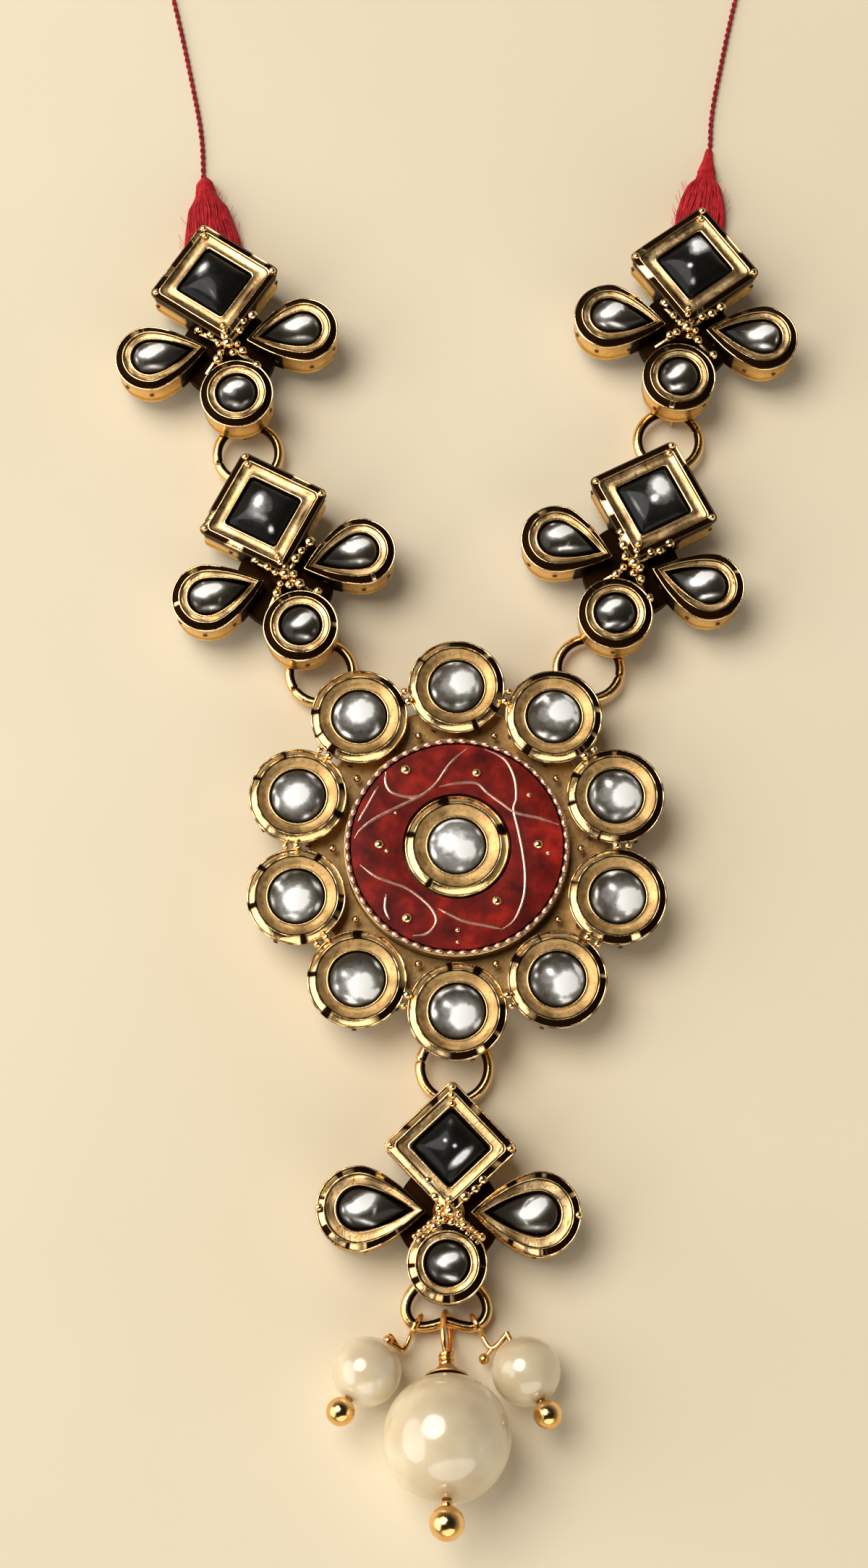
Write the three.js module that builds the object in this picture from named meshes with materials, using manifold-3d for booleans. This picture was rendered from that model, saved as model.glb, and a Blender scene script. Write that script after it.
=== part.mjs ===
// A mala necklace lying on a table: five stone-set crosses, a round enamelled pendant
// with ten stone-set roundels, three pearl drops and a red silk neck thread.
// Millimetres. +X is to the right, +Y towards the neck, +Z up, and the table is z = 0.
// Places are given from the middle of the pendant.
import * as THREE from 'three';
import { mergeVertices } from 'three/addons/utils/BufferGeometryUtils.js';
import Module from 'manifold-3d';

const wasm = await Module();
wasm.setup();

// ---- heights above the table ----
const PLATE_Z = 2.0;          // underside of the back plates
const RIM_Z = 5.5;            // top of every bezel rim
const SEAT_Z = 4.4;           // floor of the pocket that holds a stone
const RING_Z = 1.28;          // middle of the wire of the jump rings and of the link
const GAP = 0.3;              // between a stone and its pocket

// ---- bezels and stones: inscribed radius of the bezel and of its stone,
// and how far the wall leans in from the rim to its foot.
const ROUNDEL = { bezel: 4.5, stone: 2.5, foot: 0.6 };
const CENTRE = { bezel: 4.75, stone: 2.6, foot: 0.3 };
const ROUND = { bezel: 3.55, stone: 1.9, foot: 0.15 };
const ARM_SQUARE = { bezel: 4.6, stone: 2.5, foot: 0.15 };
const BOTTOM_SQUARE = { bezel: 4.3, stone: 2.4, foot: 0.15 };
const CORNER_ROUNDING = 0.08; // of a square, as a share of its inscribed radius
// A teardrop also has the distance from its round end's centre to the middle of the cross, and
// from that centre to the tip of the bezel and to the tip of the pocket.
const ARM_TEAR = { bezel: 3.4, stone: 1.7, foot: 0.15, offset: 7.5, bezelReach: 5.55, pocketReach: 4.55 };
const BOTTOM_TEAR = { bezel: 3.8, stone: 1.8, foot: 0.15, offset: 7.85, bezelReach: 5.9, pocketReach: 4.9 };
const TEAR_FULLNESS = 1.6;    // above 1, the sides of a teardrop swell
const RIM = { shoulder: 0.35, width: 0.3 };                        // the top of the outer wall
const GROOVE = { width: 0.45, depth: 0.5 };                        // between the rim and the collar
const COLLAR = { width: 0.3, drop: 0.2 };                          // the raised lip round a stone
const DOME = { girdle: 0.25, shoulder: 0.72, bend: 0.65, rise: 1.05 };   // the shape of a stone
const SIDE_STEPS = [0.3, 0.55, 0.78];                              // along a teardrop's side

// ---- pendant ----
const ROUNDEL_COUNT = 10;
const ROUNDEL_RING = 15.3;    // radius of the circle of roundels
const BACK_PLATE = { radius: 13.8, thickness: 1.2 };
const ENAMEL = { inner: 5.05, outer: 9.5, bottom: 3.5, top: 5.1, crown: 5.25 };
const COLLET = { inner: 9.8, outer: 10.3, sunk: 0.3, top: 5.4 };   // wall round the enamel

// ---- crosses: place of the middle, turn in degrees, the square and the teardrops,
// and reach of the square and round
const ARM = { square: ARM_SQUARE, tear: ARM_TEAR, squareReach: 6.6, roundReach: 5.35 };
const BOTTOM = { square: BOTTOM_SQUARE, tear: BOTTOM_TEAR, squareReach: 5.6, roundReach: 4.5 };
const CROSSES = [
  { name: 'upper_left', x: -22.1, y: 50.2, turn: 11.6, ...ARM },
  { name: 'upper_right', x: 22.3, y: 52.0, turn: -8.7, ...ARM },
  { name: 'lower_left', x: -16.2, y: 26.4, turn: 18.0, ...ARM },
  { name: 'lower_right', x: 16.6, y: 27.6, turn: -18.6, ...ARM },
  { name: 'bottom', x: -0.8, y: -33.1, turn: -1.7, ...BOTTOM },
];
const CROSS_PLATE = { radius: 4.6, thickness: 1.5 };
const BOSS = { radius: 1.45, shoulder: 4.7, crown: 0.87, top: 5.3 };

// ---- jump rings and the staples behind the links that they run through ----
const RING_WIRE = 0.48;
const RINGS = [
  { name: 'left_ring', x: -20.1, y: 40.3, radius: 3.0, up: 'upper_left', down: 'lower_left' },
  { name: 'right_ring', x: 20.65, y: 41.65, radius: 3.0, up: 'upper_right', down: 'lower_right' },
  { name: 'left_pendant_ring', x: -12.76, y: 17.92, radius: 3.0, up: 'lower_left', roundel: 1 },
  { name: 'right_pendant_ring', x: 12.53, y: 18.3, radius: 3.0, up: 'lower_right', roundel: 9 },
  { name: 'lower_ring', x: -0.25, y: -19.7, radius: 3.1, roundel: 5, down: 'bottom' },
];
const STAPLE = { leg: 0.4, width: 0.9, half: 0.9, bar: 0.55, tongue: 0.6 };

// ---- the bow-shaped link under the bottom cross: right half, about its middle ----
const BOW = { x: -1.0, y: -41.0 };
const BOW_HALF = [
  { x: 0, y: 2.9 }, { x: 1.9, y: 2.35 }, { x: 3.15, y: 1.15 }, { x: 3.6, y: -0.15 },
  { x: 3.2, y: -1.25 }, { x: 2.3, y: -1.72 }, { x: 1.2, y: -1.6 }, { x: 0, y: -1.3 },
];

// ---- pearl drops: the pearl, the place that its pin heads for, and the pin ----
// The big one ends in an oval eye. A small one ends in a bent wire with a round loop on the link.
const BIG_EYE = { wire: 0.3, long: 2.0, high: 1.25, hookIn: 1.08 };
const LOOP = { wire: 0.27, radius: 0.93 };
const DROPS = [
  { name: 'big', radius: 5.5, x: -1.0, y: -52.4, aimX: -0.98, aimY: -42.3,
    ball: 1.5, ballAt: 7.6, pin: 0.27, bore: 0.57 },
  { name: 'left', radius: 3.0, x: -7.9, y: -46.65, aimX: -5.15, aimY: -42.35,
    ball: 1.25, ballAt: 4.35, pin: 0.25, bore: 0.55,
    loop: { x: -3.65, y: -42.57, turn: 61 }, bend: { x: -4.85, y: -44.7, z: 1.6 },
    bead: { x: -6.1, y: -43.95, z: 1.95 } },
  { name: 'right', radius: 3.0, x: 5.9, y: -46.65, aimX: 3.75, aimY: -42.15,
    ball: 1.25, ballAt: 4.35, pin: 0.25, bore: 0.55,
    loop: { x: 1.65, y: -42.57, turn: 118 }, bend: { x: 3.0, y: -44.6, z: 1.6 },
    bead: { x: 2.3, y: -45.5, z: 1.6 } },
];
const DROP_BEAD = 0.5;
const SMALL_BEAD = { radius: 0.5, at: 5.98 };
// The big pearl's cap, with its heights along the pin from the pearl's middle.
const CAP = { bore: 0.57, radius: 1.9, lip: 5.65, edge: 5.9, inside: 6.0, top: 6.65 };
const CAP_CROWN = { radius: 0.95, at: 6.5 };

// ---- silk tufts: sections along the tuft from the corner of the top square ----
const TUFTS = [
  { name: 'left_tuft', x: -24.1, y: 62.7, turn: 8, sections: [
    { along: -2.6, halfWidth: 2.8, height: 1.2 }, { along: 0.6, halfWidth: 2.85, height: 1.4 },
    { along: 2.6, halfWidth: 2.4, height: 1.9 }, { along: 4.2, halfWidth: 2.0, height: 2.2 },
    { along: 5.4, halfWidth: 1.25, height: 1.9 }, { along: 6.3, halfWidth: 0.95, height: 1.6 },
    { along: 7.4, halfWidth: 0.75, height: 1.2 }, { along: 8.1, halfWidth: 0.3, height: 0.6 } ] },
  { name: 'right_tuft', x: 24.35, y: 64.6, turn: -8, sections: [
    { along: -2.6, halfWidth: 2.5, height: 1.2 }, { along: 1.6, halfWidth: 2.55, height: 1.5 },
    { along: 3.4, halfWidth: 2.2, height: 1.9 }, { along: 4.9, halfWidth: 1.7, height: 1.9 },
    { along: 5.7, halfWidth: 1.0, height: 1.6 }, { along: 6.7, halfWidth: 0.85, height: 1.4 },
    { along: 8.2, halfWidth: 0.45, height: 0.8 }, { along: 9.5, halfWidth: 0.28, height: 0.55 } ] },
];

// ---- neck thread: its route, from the left tuft's tip round the neck to the right one ----
const THREAD = { radius: 0.25, steps: 72 };
const THREAD_ROUTE = [
  { x: -25.3, y: 71.0 }, { x: -26.2, y: 79 }, { x: -31, y: 99 }, { x: -39.5, y: 121 },
  { x: -46, y: 144 }, { x: -43, y: 168 }, { x: -26, y: 187 }, { x: 0, y: 194 },
  { x: 26, y: 187 }, { x: 43, y: 168 }, { x: 46, y: 144 }, { x: 39.5, y: 121 },
  { x: 31, y: 99 }, { x: 26.6, y: 81 }, { x: 25.75, y: 74.3 },
];

// ---- materials ----
const material = {
  gold: { color: 0xd9a441, roughness: 0.25, metalness: 1 },
  enamel: { color: 0x7d0d12, roughness: 0.15, metalness: 0 },
  stone: { color: 0x9a9c9e, roughness: 0.05, metalness: 0.4 },
  darkStone: { color: 0x202124, roughness: 0.05, metalness: 0.3 },
  pearl: { color: 0xe9dcc4, roughness: 0.25, metalness: 0 },
  silk: { color: 0xa8121f, roughness: 0.7, metalness: 0 },
};

const necklace = new THREE.Group();

function mesh(name, geometry, look, parent = necklace) {
  const item = new THREE.Mesh(geometry, new THREE.MeshStandardMaterial(material[look]));
  item.name = name;
  parent.add(item);
  return item;
}

// ---- outlines, counter-clockwise, for a given inscribed radius ----
const arcPoint = (radius, angle) => new THREE.Vector2(radius * Math.cos(angle), radius * Math.sin(angle));

function circle(radius, sides = 16) {
  return Array.from({ length: sides }, (_, i) => arcPoint(radius, (2 * Math.PI * i) / sides));
}

function diamond(radius) {
  const corner = CORNER_ROUNDING * radius;
  const reach = (radius - corner) * Math.SQRT2;
  const points = [];
  for (let side = 0; side < 4; side += 1) {
    const facing = (side * Math.PI) / 2;
    for (const bend of [-Math.PI / 4, 0, Math.PI / 4]) {
      points.push(arcPoint(reach, facing).add(arcPoint(corner, facing + bend)));
    }
  }
  return points;
}

// Round end towards +X about the origin, and full sides that meet in a point at x = -reach.
function teardrop(radius, reach) {
  const side = (along) => radius * (1 - along ** TEAR_FULLNESS);
  const points = Array.from({ length: 9 }, (_, i) => arcPoint(radius, -Math.PI / 2 + (Math.PI * i) / 8));
  const upper = SIDE_STEPS.map((along) => new THREE.Vector2(-reach * along, side(along)));
  const lower = upper.map((p) => new THREE.Vector2(p.x, -p.y)).reverse();
  return [...points, ...upper, new THREE.Vector2(-reach, 0), ...lower];
}

// The outline of a teardrop's bezel by radius, down to its pocket.
const bezelTeardrop = (tear) => (radius) => {
  const pocket = tear.stone + GAP;
  const share = (radius - pocket) / (tear.bezel - pocket);
  return teardrop(radius, tear.pocketReach + share * (tear.bezelReach - tear.pocketReach));
};

// Like the pocket in shape, so the gap is much the same all round.
const stoneTeardrop = (tear) => (radius) =>
  teardrop(radius, (radius * tear.pocketReach) / (tear.stone + GAP));

// ---- solids ----
function geometryFrom(points, faces) {
  const geometry = new THREE.BufferGeometry();
  geometry.setAttribute('position', new THREE.Float32BufferAttribute(points.flat(), 3));
  geometry.setIndex(faces.flat());
  return geometry;
}

// Stacks closed outlines of equal count and caps both ends with a fan about a middle point.
function stack(sections, bottom, top) {
  const count = sections[0].length;
  const points = sections.flat();
  const faces = [];
  for (let row = 0; row + 1 < sections.length; row += 1) {
    for (let i = 0; i < count; i += 1) {
      const a = row * count + i;
      const b = row * count + ((i + 1) % count);
      faces.push([a, b, b + count], [a, b + count, a + count]);
    }
  }
  const last = (sections.length - 1) * count;
  for (let i = 0; i < count; i += 1) {
    const next = (i + 1) % count;
    faces.push([points.length, next, i], [points.length + 1, last + i, last + next]);
  }
  return geometryFrom([...points, bottom, top], faces);
}

// Rows of { radius, z } on a given outline: a turned profile for any outline shape.
function rise(outline, rows, peak) {
  const sections = rows.map((row) => outline(row.radius).map((p) => [p.x, p.y, row.z]));
  const top = peak ?? rows[rows.length - 1].z;
  return stack(sections, [0, 0, rows[0].z], [0, 0, top]);
}

function bezel(outline, size) {
  return rise(outline, [
    { radius: size.bezel - size.foot, z: PLATE_Z },
    { radius: size.bezel, z: RIM_Z - RIM.shoulder },
    { radius: size.bezel - RIM.width, z: RIM_Z },
    { radius: size.bezel - RIM.width - GROOVE.width, z: RIM_Z - GROOVE.depth },
    { radius: size.stone + COLLAR.width, z: RIM_Z - COLLAR.drop },
    { radius: size.stone + GAP, z: SEAT_Z },
  ]);
}

function stone(outline, size) {
  const girdle = RIM_Z - DOME.girdle;
  return rise(outline, [
    { radius: size.stone, z: SEAT_Z + GAP },
    { radius: size.stone, z: girdle },
    { radius: size.stone * DOME.shoulder, z: girdle + DOME.rise * DOME.bend },
  ], girdle + DOME.rise);
}

// A wire of round section along a closed flat curve.
function closedWire(curve, radius, steps, sides = 6) {
  const points = [];
  const faces = [];
  for (let i = 0; i < steps; i += 1) {
    const middle = curve.getPointAt(i / steps);
    const along = curve.getTangentAt(i / steps);
    for (let j = 0; j < sides; j += 1) {
      const angle = (2 * Math.PI * j) / sides;
      const out = radius * Math.cos(angle);
      points.push([middle.x + out * along.y, middle.y - out * along.x, radius * Math.sin(angle)]);
      const a = i * sides + j;
      const b = i * sides + ((j + 1) % sides);
      const shift = (i + 1 < steps ? 1 : 1 - steps) * sides;
      faces.push([a, b + shift, b], [a, a + shift, b + shift]);
    }
  }
  return geometryFrom(points, faces);
}

function turned(profile, segments = 16) {
  return new THREE.LatheGeometry(profile.map((p) => new THREE.Vector2(p[0], p[1])), segments);
}

const block = (x, y, z) => new THREE.BoxGeometry(x, y, z);

function solidOf(geometry) {
  const bare = geometry.clone();
  bare.deleteAttribute('normal');
  bare.deleteAttribute('uv');
  const merged = mergeVertices(bare, 1e-4);
  const faces = [];
  for (let i = 0; i < merged.index.count; i += 3) {
    const [a, b, c] = [0, 1, 2].map((k) => merged.index.getX(i + k));
    if (a !== b && b !== c && c !== a) faces.push(a, b, c);
  }
  return new wasm.Manifold(new wasm.Mesh({
    numProp: 3,
    vertProperties: new Float32Array(merged.attributes.position.array),
    triVerts: new Uint32Array(faces),
  }));
}

// Soldered pieces become one solid.
function soldered(geometries) {
  const joined = geometries.map(solidOf).reduce((sum, next) => sum.add(next));
  const result = joined.getMesh();
  const geometry = new THREE.BufferGeometry();
  geometry.setAttribute('position', new THREE.BufferAttribute(result.vertProperties, 3));
  geometry.setIndex(new THREE.BufferAttribute(result.triVerts, 1));
  return geometry;
}

// A staple for a ring that crosses at (x, y), with the ring's middle in the given direction.
function staple(x, y, direction) {
  const pieces = [
    block(2 * STAPLE.half + STAPLE.leg, STAPLE.width, STAPLE.tongue)
      .translate(0, 0, PLATE_Z + STAPLE.tongue / 2),
    block(2 * STAPLE.half + STAPLE.leg, STAPLE.width, STAPLE.bar).translate(0, 0, STAPLE.bar / 2),
  ];
  for (const side of [-1, 1]) {
    const height = PLATE_Z + STAPLE.tongue / 2;
    pieces.push(block(STAPLE.leg, STAPLE.width, height).translate(side * STAPLE.half, 0, height / 2));
  }
  return pieces.map((piece) => piece.rotateZ(direction).translate(x, y, 0));
}

// The staple under a bezel whose middle is at (x, y), both in the table's frame.
function stapleFor(ring, x, y, frame) {
  const direction = Math.atan2(y - ring.y, x - ring.x);
  const place = new THREE.Vector3(
    ring.x + ring.radius * Math.cos(direction), ring.y + ring.radius * Math.sin(direction), 0);
  frame.updateMatrixWorld(true);
  frame.worldToLocal(place);
  return staple(place.x, place.y, direction - frame.rotation.z);
}

// ---- crosses ----
const bowTop = { x: BOW.x, y: BOW.y, radius: BOW_HALF[0].y, up: 'bottom' };

function cross(place) {
  const frame = new THREE.Group();
  frame.position.set(place.x, place.y, 0);
  frame.rotation.z = THREE.MathUtils.degToRad(place.turn);
  const settings = [
    { piece: 'square', outline: diamond, inner: diamond, size: place.square,
      x: 0, y: place.squareReach, turn: 0 },
    { piece: 'round', outline: (r) => circle(r, 14), inner: (r) => circle(r, 14), size: ROUND,
      x: 0, y: -place.roundReach, turn: 0 },
    { piece: 'left', outline: bezelTeardrop(place.tear), inner: stoneTeardrop(place.tear), size: place.tear,
      x: -place.tear.offset, y: 0, turn: Math.PI },
    { piece: 'right', outline: bezelTeardrop(place.tear), inner: stoneTeardrop(place.tear), size: place.tear,
      x: place.tear.offset, y: 0, turn: 0 },
  ];
  const metal = [
    rise((r) => circle(r, 20), [
      { radius: CROSS_PLATE.radius, z: PLATE_Z },
      { radius: CROSS_PLATE.radius, z: PLATE_Z + CROSS_PLATE.thickness }]),
    rise((r) => circle(r, 12), [
      { radius: BOSS.radius, z: PLATE_Z + CROSS_PLATE.thickness / 2 },
      { radius: BOSS.radius, z: BOSS.shoulder },
      { radius: BOSS.crown, z: BOSS.top }]),
  ];
  for (const item of settings) {
    metal.push(bezel(item.outline, item.size).rotateZ(item.turn).translate(item.x, item.y, 0));
    const look = item.piece === 'square' ? 'darkStone' : 'stone';
    const gem = mesh(`${place.name}_${item.piece}_stone`, stone(item.inner, item.size), look, frame);
    gem.position.set(item.x, item.y, 0);
    gem.rotation.z = item.turn;
  }
  const turn = frame.rotation.z;
  for (const ring of [...RINGS, bowTop]) {
    if (ring.up === place.name) {
      const x = place.x + place.roundReach * Math.sin(turn);
      metal.push(...stapleFor(ring, x, place.y - place.roundReach * Math.cos(turn), frame));
    }
    if (ring.down === place.name) {
      const x = place.x - place.squareReach * Math.sin(turn);
      metal.push(...stapleFor(ring, x, place.y + place.squareReach * Math.cos(turn), frame));
    }
  }
  mesh(`${place.name}_cross`, soldered(metal), 'gold', frame);
  necklace.add(frame);
}

// ---- pendant ----
function pendant() {
  const frame = new THREE.Group();
  const plateTop = PLATE_Z + BACK_PLATE.thickness;
  const foot = plateTop - COLLET.sunk;
  const metal = [
    rise((r) => circle(r, 30), [
      { radius: BACK_PLATE.radius, z: PLATE_Z }, { radius: BACK_PLATE.radius, z: plateTop }]),
    bezel(circle, CENTRE),
    turned([
      [COLLET.inner, foot], [COLLET.outer, foot], [COLLET.outer, COLLET.top],
      [COLLET.inner, COLLET.top], [COLLET.inner, foot]], 36).rotateX(Math.PI / 2),
  ];
  mesh('pendant_centre_stone', stone(circle, CENTRE), 'stone', frame);
  for (let i = 0; i < ROUNDEL_COUNT; i += 1) {
    const angle = Math.PI / 2 + (2 * Math.PI * i) / ROUNDEL_COUNT;
    const at = arcPoint(ROUNDEL_RING, angle);
    metal.push(bezel(circle, ROUNDEL).translate(at.x, at.y, 0));
    const gem = mesh(`roundel_stone_${i + 1}`, stone(circle, ROUNDEL), 'stone', frame);
    gem.position.set(at.x, at.y, 0);
    for (const ring of RINGS.filter((item) => item.roundel === i)) {
      metal.push(...stapleFor(ring, at.x, at.y, frame));
    }
  }
  mesh('pendant_frame', soldered(metal), 'gold', frame);
  const enamel = turned([
    [ENAMEL.inner, ENAMEL.bottom], [ENAMEL.outer, ENAMEL.bottom], [ENAMEL.outer, ENAMEL.top],
    [(ENAMEL.inner + ENAMEL.outer) / 2, ENAMEL.crown], [ENAMEL.inner, ENAMEL.top],
    [ENAMEL.inner, ENAMEL.bottom]], 36);
  mesh('enamel_disc', enamel, 'enamel', frame).rotation.x = Math.PI / 2;
  necklace.add(frame);
}

// ---- rings, and the bow-shaped link ----
function rings() {
  for (const ring of RINGS) {
    const loop = new THREE.TorusGeometry(ring.radius, RING_WIRE, 6, 22);
    mesh(ring.name, loop, 'gold').position.set(ring.x, ring.y, RING_Z);
  }
  const left = BOW_HALF.slice(1, -1).reverse().map((p) => ({ x: -p.x, y: p.y }));
  const route = [...BOW_HALF, ...left].reverse().map((p) => new THREE.Vector3(p.x, p.y, 0));
  const curve = new THREE.CatmullRomCurve3(route, true, 'centripetal');
  mesh('bow_link', closedWire(curve, RING_WIRE, 36), 'gold').position.set(BOW.x, BOW.y, RING_Z);
}

// ---- pearl drops; along +X in each drop's own frame lies the pin's eye ----
function pearlBead(drop) {
  const profile = [];
  const steps = 10;
  const edge = Math.acos(drop.bore / drop.radius);
  for (let i = 0; i <= steps; i += 1) {
    const angle = -edge + (2 * edge * i) / steps;
    profile.push([drop.radius * Math.cos(angle), drop.radius * Math.sin(angle)]);
  }
  profile.push([...profile[0]]);
  return turned(profile, 18).rotateZ(-Math.PI / 2);
}

function pin(drop, end) {
  const ball = new THREE.SphereGeometry(drop.ball, 12, 8).translate(-drop.ballAt, 0, 0);
  const length = end + drop.ballAt;
  const shaft = new THREE.CylinderGeometry(drop.pin, drop.pin, length, 8).rotateZ(Math.PI / 2)
    .translate(length / 2 - drop.ballAt, 0, 0);
  return [ball, shaft];
}

function bigPin(drop, reach) {
  const eyeAt = reach - BIG_EYE.hookIn;
  const oval = new THREE.EllipseCurve(0, 0, BIG_EYE.long, BIG_EYE.high);
  const eye = closedWire(oval, BIG_EYE.wire, 18).rotateX(Math.PI / 2).translate(eyeAt, 0, 0);
  const bead = new THREE.SphereGeometry(SMALL_BEAD.radius, 8, 6).translate(-SMALL_BEAD.at, 0, 0);
  return soldered([...pin(drop, eyeAt - BIG_EYE.long), eye, bead]);
}

function wireAlong(extrudePath, radius, steps) {
  return new THREE.ExtrudeGeometry(new THREE.Shape(circle(radius, 8)), {
    steps, bevelEnabled: false, extrudePath });
}

// A straight pin through the pearl, then a bent wire to a loop round the link, and a small bead.
function smallPin(drop, frame) {
  const heading = THREE.MathUtils.degToRad(drop.loop.turn);
  const loop = new THREE.TorusGeometry(LOOP.radius, LOOP.wire, 6, 16).rotateX(Math.PI / 2)
    .rotateZ(heading).translate(drop.loop.x, drop.loop.y, RING_Z);
  const exit = drop.radius + 4 * drop.pin;
  frame.updateMatrixWorld(true);
  const bend = new THREE.Vector3(drop.bend.x, drop.bend.y, drop.bend.z);
  const wire = wireAlong(new THREE.CatmullRomCurve3([
    new THREE.Vector3(exit - drop.pin / 2, 0, 0).applyMatrix4(frame.matrixWorld), bend,
    new THREE.Vector3(drop.loop.x - LOOP.radius * Math.cos(heading),
      drop.loop.y - LOOP.radius * Math.sin(heading), RING_Z)], false, 'centripetal'), drop.pin, 12);
  const beadAt = new THREE.Vector3(drop.bead.x, drop.bead.y, drop.bead.z);
  const tail = wireAlong(new THREE.LineCurve3(bend, beadAt), drop.pin * 0.9, 1);
  const bead = new THREE.SphereGeometry(DROP_BEAD, 8, 6).translate(...beadAt);
  const toFrame = frame.matrixWorld.clone().invert();
  const onTable = [loop, wire, tail, bead].map((piece) => piece.applyMatrix4(toFrame));
  return soldered([...pin(drop, exit), ...onTable]);
}

function drops() {
  for (const drop of DROPS) {
    const frame = new THREE.Group();
    const run = Math.hypot(drop.aimX - drop.x, drop.aimY - drop.y);
    const fall = drop.radius - RING_Z;
    frame.position.set(drop.x, drop.y, drop.radius);
    frame.rotation.order = 'ZYX';
    frame.rotation.set(0, Math.atan2(fall, run), Math.atan2(drop.aimY - drop.y, drop.aimX - drop.x));
    mesh(`${drop.name}_pearl`, pearlBead(drop), 'pearl', frame);
    const metal = drop.loop ? smallPin(drop, frame) : bigPin(drop, Math.hypot(run, fall));
    mesh(`${drop.name}_pearl_pin`, metal, 'gold', frame);
    if (drop.name === 'big') {
      const cap = turned([
        [CAP.bore, CAP.inside], [CAP.radius, CAP.lip], [CAP.radius, CAP.edge],
        [CAP_CROWN.radius, CAP_CROWN.at], [CAP.bore, CAP.top], [CAP.bore, CAP.inside]], 18);
      mesh('bead_cap', cap.rotateZ(-Math.PI / 2), 'gold', frame);
    }
    necklace.add(frame);
  }
}

// ---- silk: flattened tufts on the table, and the thread round the neck ----
function tufts() {
  for (const tuft of TUFTS) {
    const sides = 10;
    const rows = tuft.sections.map((section) => {
      const half = section.height / 2;
      return Array.from({ length: sides }, (_, i) => {
        const angle = (-2 * Math.PI * i) / sides;
        return [section.halfWidth * Math.cos(angle), section.along, half + half * Math.sin(angle)];
      });
    });
    const first = tuft.sections[0];
    const last = tuft.sections[tuft.sections.length - 1];
    const body = stack(rows, [0, first.along, first.height / 2], [0, last.along, last.height / 2]);
    const item = mesh(tuft.name, body, 'silk');
    item.position.set(tuft.x, tuft.y, 0);
    item.rotation.z = THREE.MathUtils.degToRad(tuft.turn);
  }
}

function neckThread() {
  const route = THREAD_ROUTE.map((p) => new THREE.Vector3(p.x, p.y, THREAD.radius));
  const extrudePath = new THREE.CatmullRomCurve3(route, false, 'centripetal');
  mesh('neck_thread', wireAlong(extrudePath, THREAD.radius, THREAD.steps), 'silk');
}

CROSSES.forEach(cross);
pendant();
rings();
drops();
tufts();
neckThread();

// The origin is the middle of the whole footprint, on the table.
necklace.updateMatrixWorld(true);
const whole = new THREE.Box3().setFromObject(necklace, true);
const middle = whole.getCenter(new THREE.Vector3());
necklace.position.set(-middle.x, -middle.y, -whole.min.z);

export default necklace;
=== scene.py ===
"""A mala necklace lying on a pale table: stone-set crosses, an enamelled pendant with ten
roundels, three pearl drops, and silk tufts on a silk neck thread.

The layout is written in millimetres from the middle of the pendant, as the part's own
source writes it, and is moved to where the frame holds the enamel disc."""
import math
import random

import bpy
import numpy as np
from mathutils import Matrix, Vector


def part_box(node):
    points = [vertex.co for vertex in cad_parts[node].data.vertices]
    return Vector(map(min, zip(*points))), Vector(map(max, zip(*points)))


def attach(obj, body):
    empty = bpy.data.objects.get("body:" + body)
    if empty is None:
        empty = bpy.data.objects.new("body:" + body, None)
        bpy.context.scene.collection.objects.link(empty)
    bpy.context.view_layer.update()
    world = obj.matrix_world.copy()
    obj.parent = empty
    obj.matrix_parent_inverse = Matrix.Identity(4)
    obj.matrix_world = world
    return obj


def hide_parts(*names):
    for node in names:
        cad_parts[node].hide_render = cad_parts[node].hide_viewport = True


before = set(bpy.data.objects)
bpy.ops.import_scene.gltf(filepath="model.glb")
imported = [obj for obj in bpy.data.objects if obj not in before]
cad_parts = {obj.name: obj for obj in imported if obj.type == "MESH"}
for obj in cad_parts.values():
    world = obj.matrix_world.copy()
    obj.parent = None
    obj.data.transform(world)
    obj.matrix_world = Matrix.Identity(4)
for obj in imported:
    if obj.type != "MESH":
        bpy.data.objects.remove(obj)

MM = 0.001
TAU = 2 * math.pi
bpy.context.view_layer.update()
disc_low, disc_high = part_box("enamel_disc")
ORIGIN = Vector(((disc_low[0] + disc_high[0]) / 2, (disc_low[1] + disc_high[1]) / 2, 0.0))

# ---- heights above the table, mm ----
PLATE_Z = 2.0                  # underside of the back plates
RIM_Z = 5.5                    # top of the bezel rims
SEAT_Z = 4.4                   # where the stones sit
RING_Z = 1.28                  # middle of the jump ring wire
ENAMEL_Z = 5.1                 # edge of the enamel's face

# ---- bezels and stones, mm ----
# bezel, stone: inscribed radii. foot: how far the wall leans in at its foot.
# seam: width of the dark line between a stone and its lip. lip: the lip's patina.
# band: width of the rim's broad wire. fall: how far that wire slopes down to the outside.
# worn: how dark the outer half of the collar is worn. offset: from a cross's middle to where a
# teardrop's round end has its centre, and its reaches run from there to its tips.
SETTING = dict(foot=0.15, band=0.5, fall=0.36, lip=0.1, worn=0.0)
ROUNDEL = dict(SETTING, bezel=4.5, stone=2.5, foot=0.6, seam=0.08, lip=0.34)
CENTRE = dict(ROUNDEL, bezel=4.75, stone=2.6, foot=0.3)
ROUND = dict(SETTING, bezel=3.55, stone=1.9, seam=0.14, band=0.56)
ARM_SQUARE = dict(SETTING, bezel=4.6, stone=2.66, seam=0.06, band=0.42, fall=0.12, lip=0.0, worn=0.25)
BOTTOM_SQUARE = dict(SETTING, bezel=4.3, stone=2.4, seam=0.2)
ARM_TEAR = dict(SETTING, bezel=3.4, stone=1.7, seam=0.14, band=0.56, lip=0.0, offset=7.5,
                bezel_reach=5.55, pocket_reach=4.55)
BOTTOM_TEAR = dict(SETTING, bezel=3.8, stone=1.8, seam=0.2, offset=7.85, bezel_reach=5.9, pocket_reach=4.9)
TEAR_FULLNESS = 1.6                      # above 1, the sides of a teardrop swell
GAP = 0.3                                # between a stone and its pocket
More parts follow.
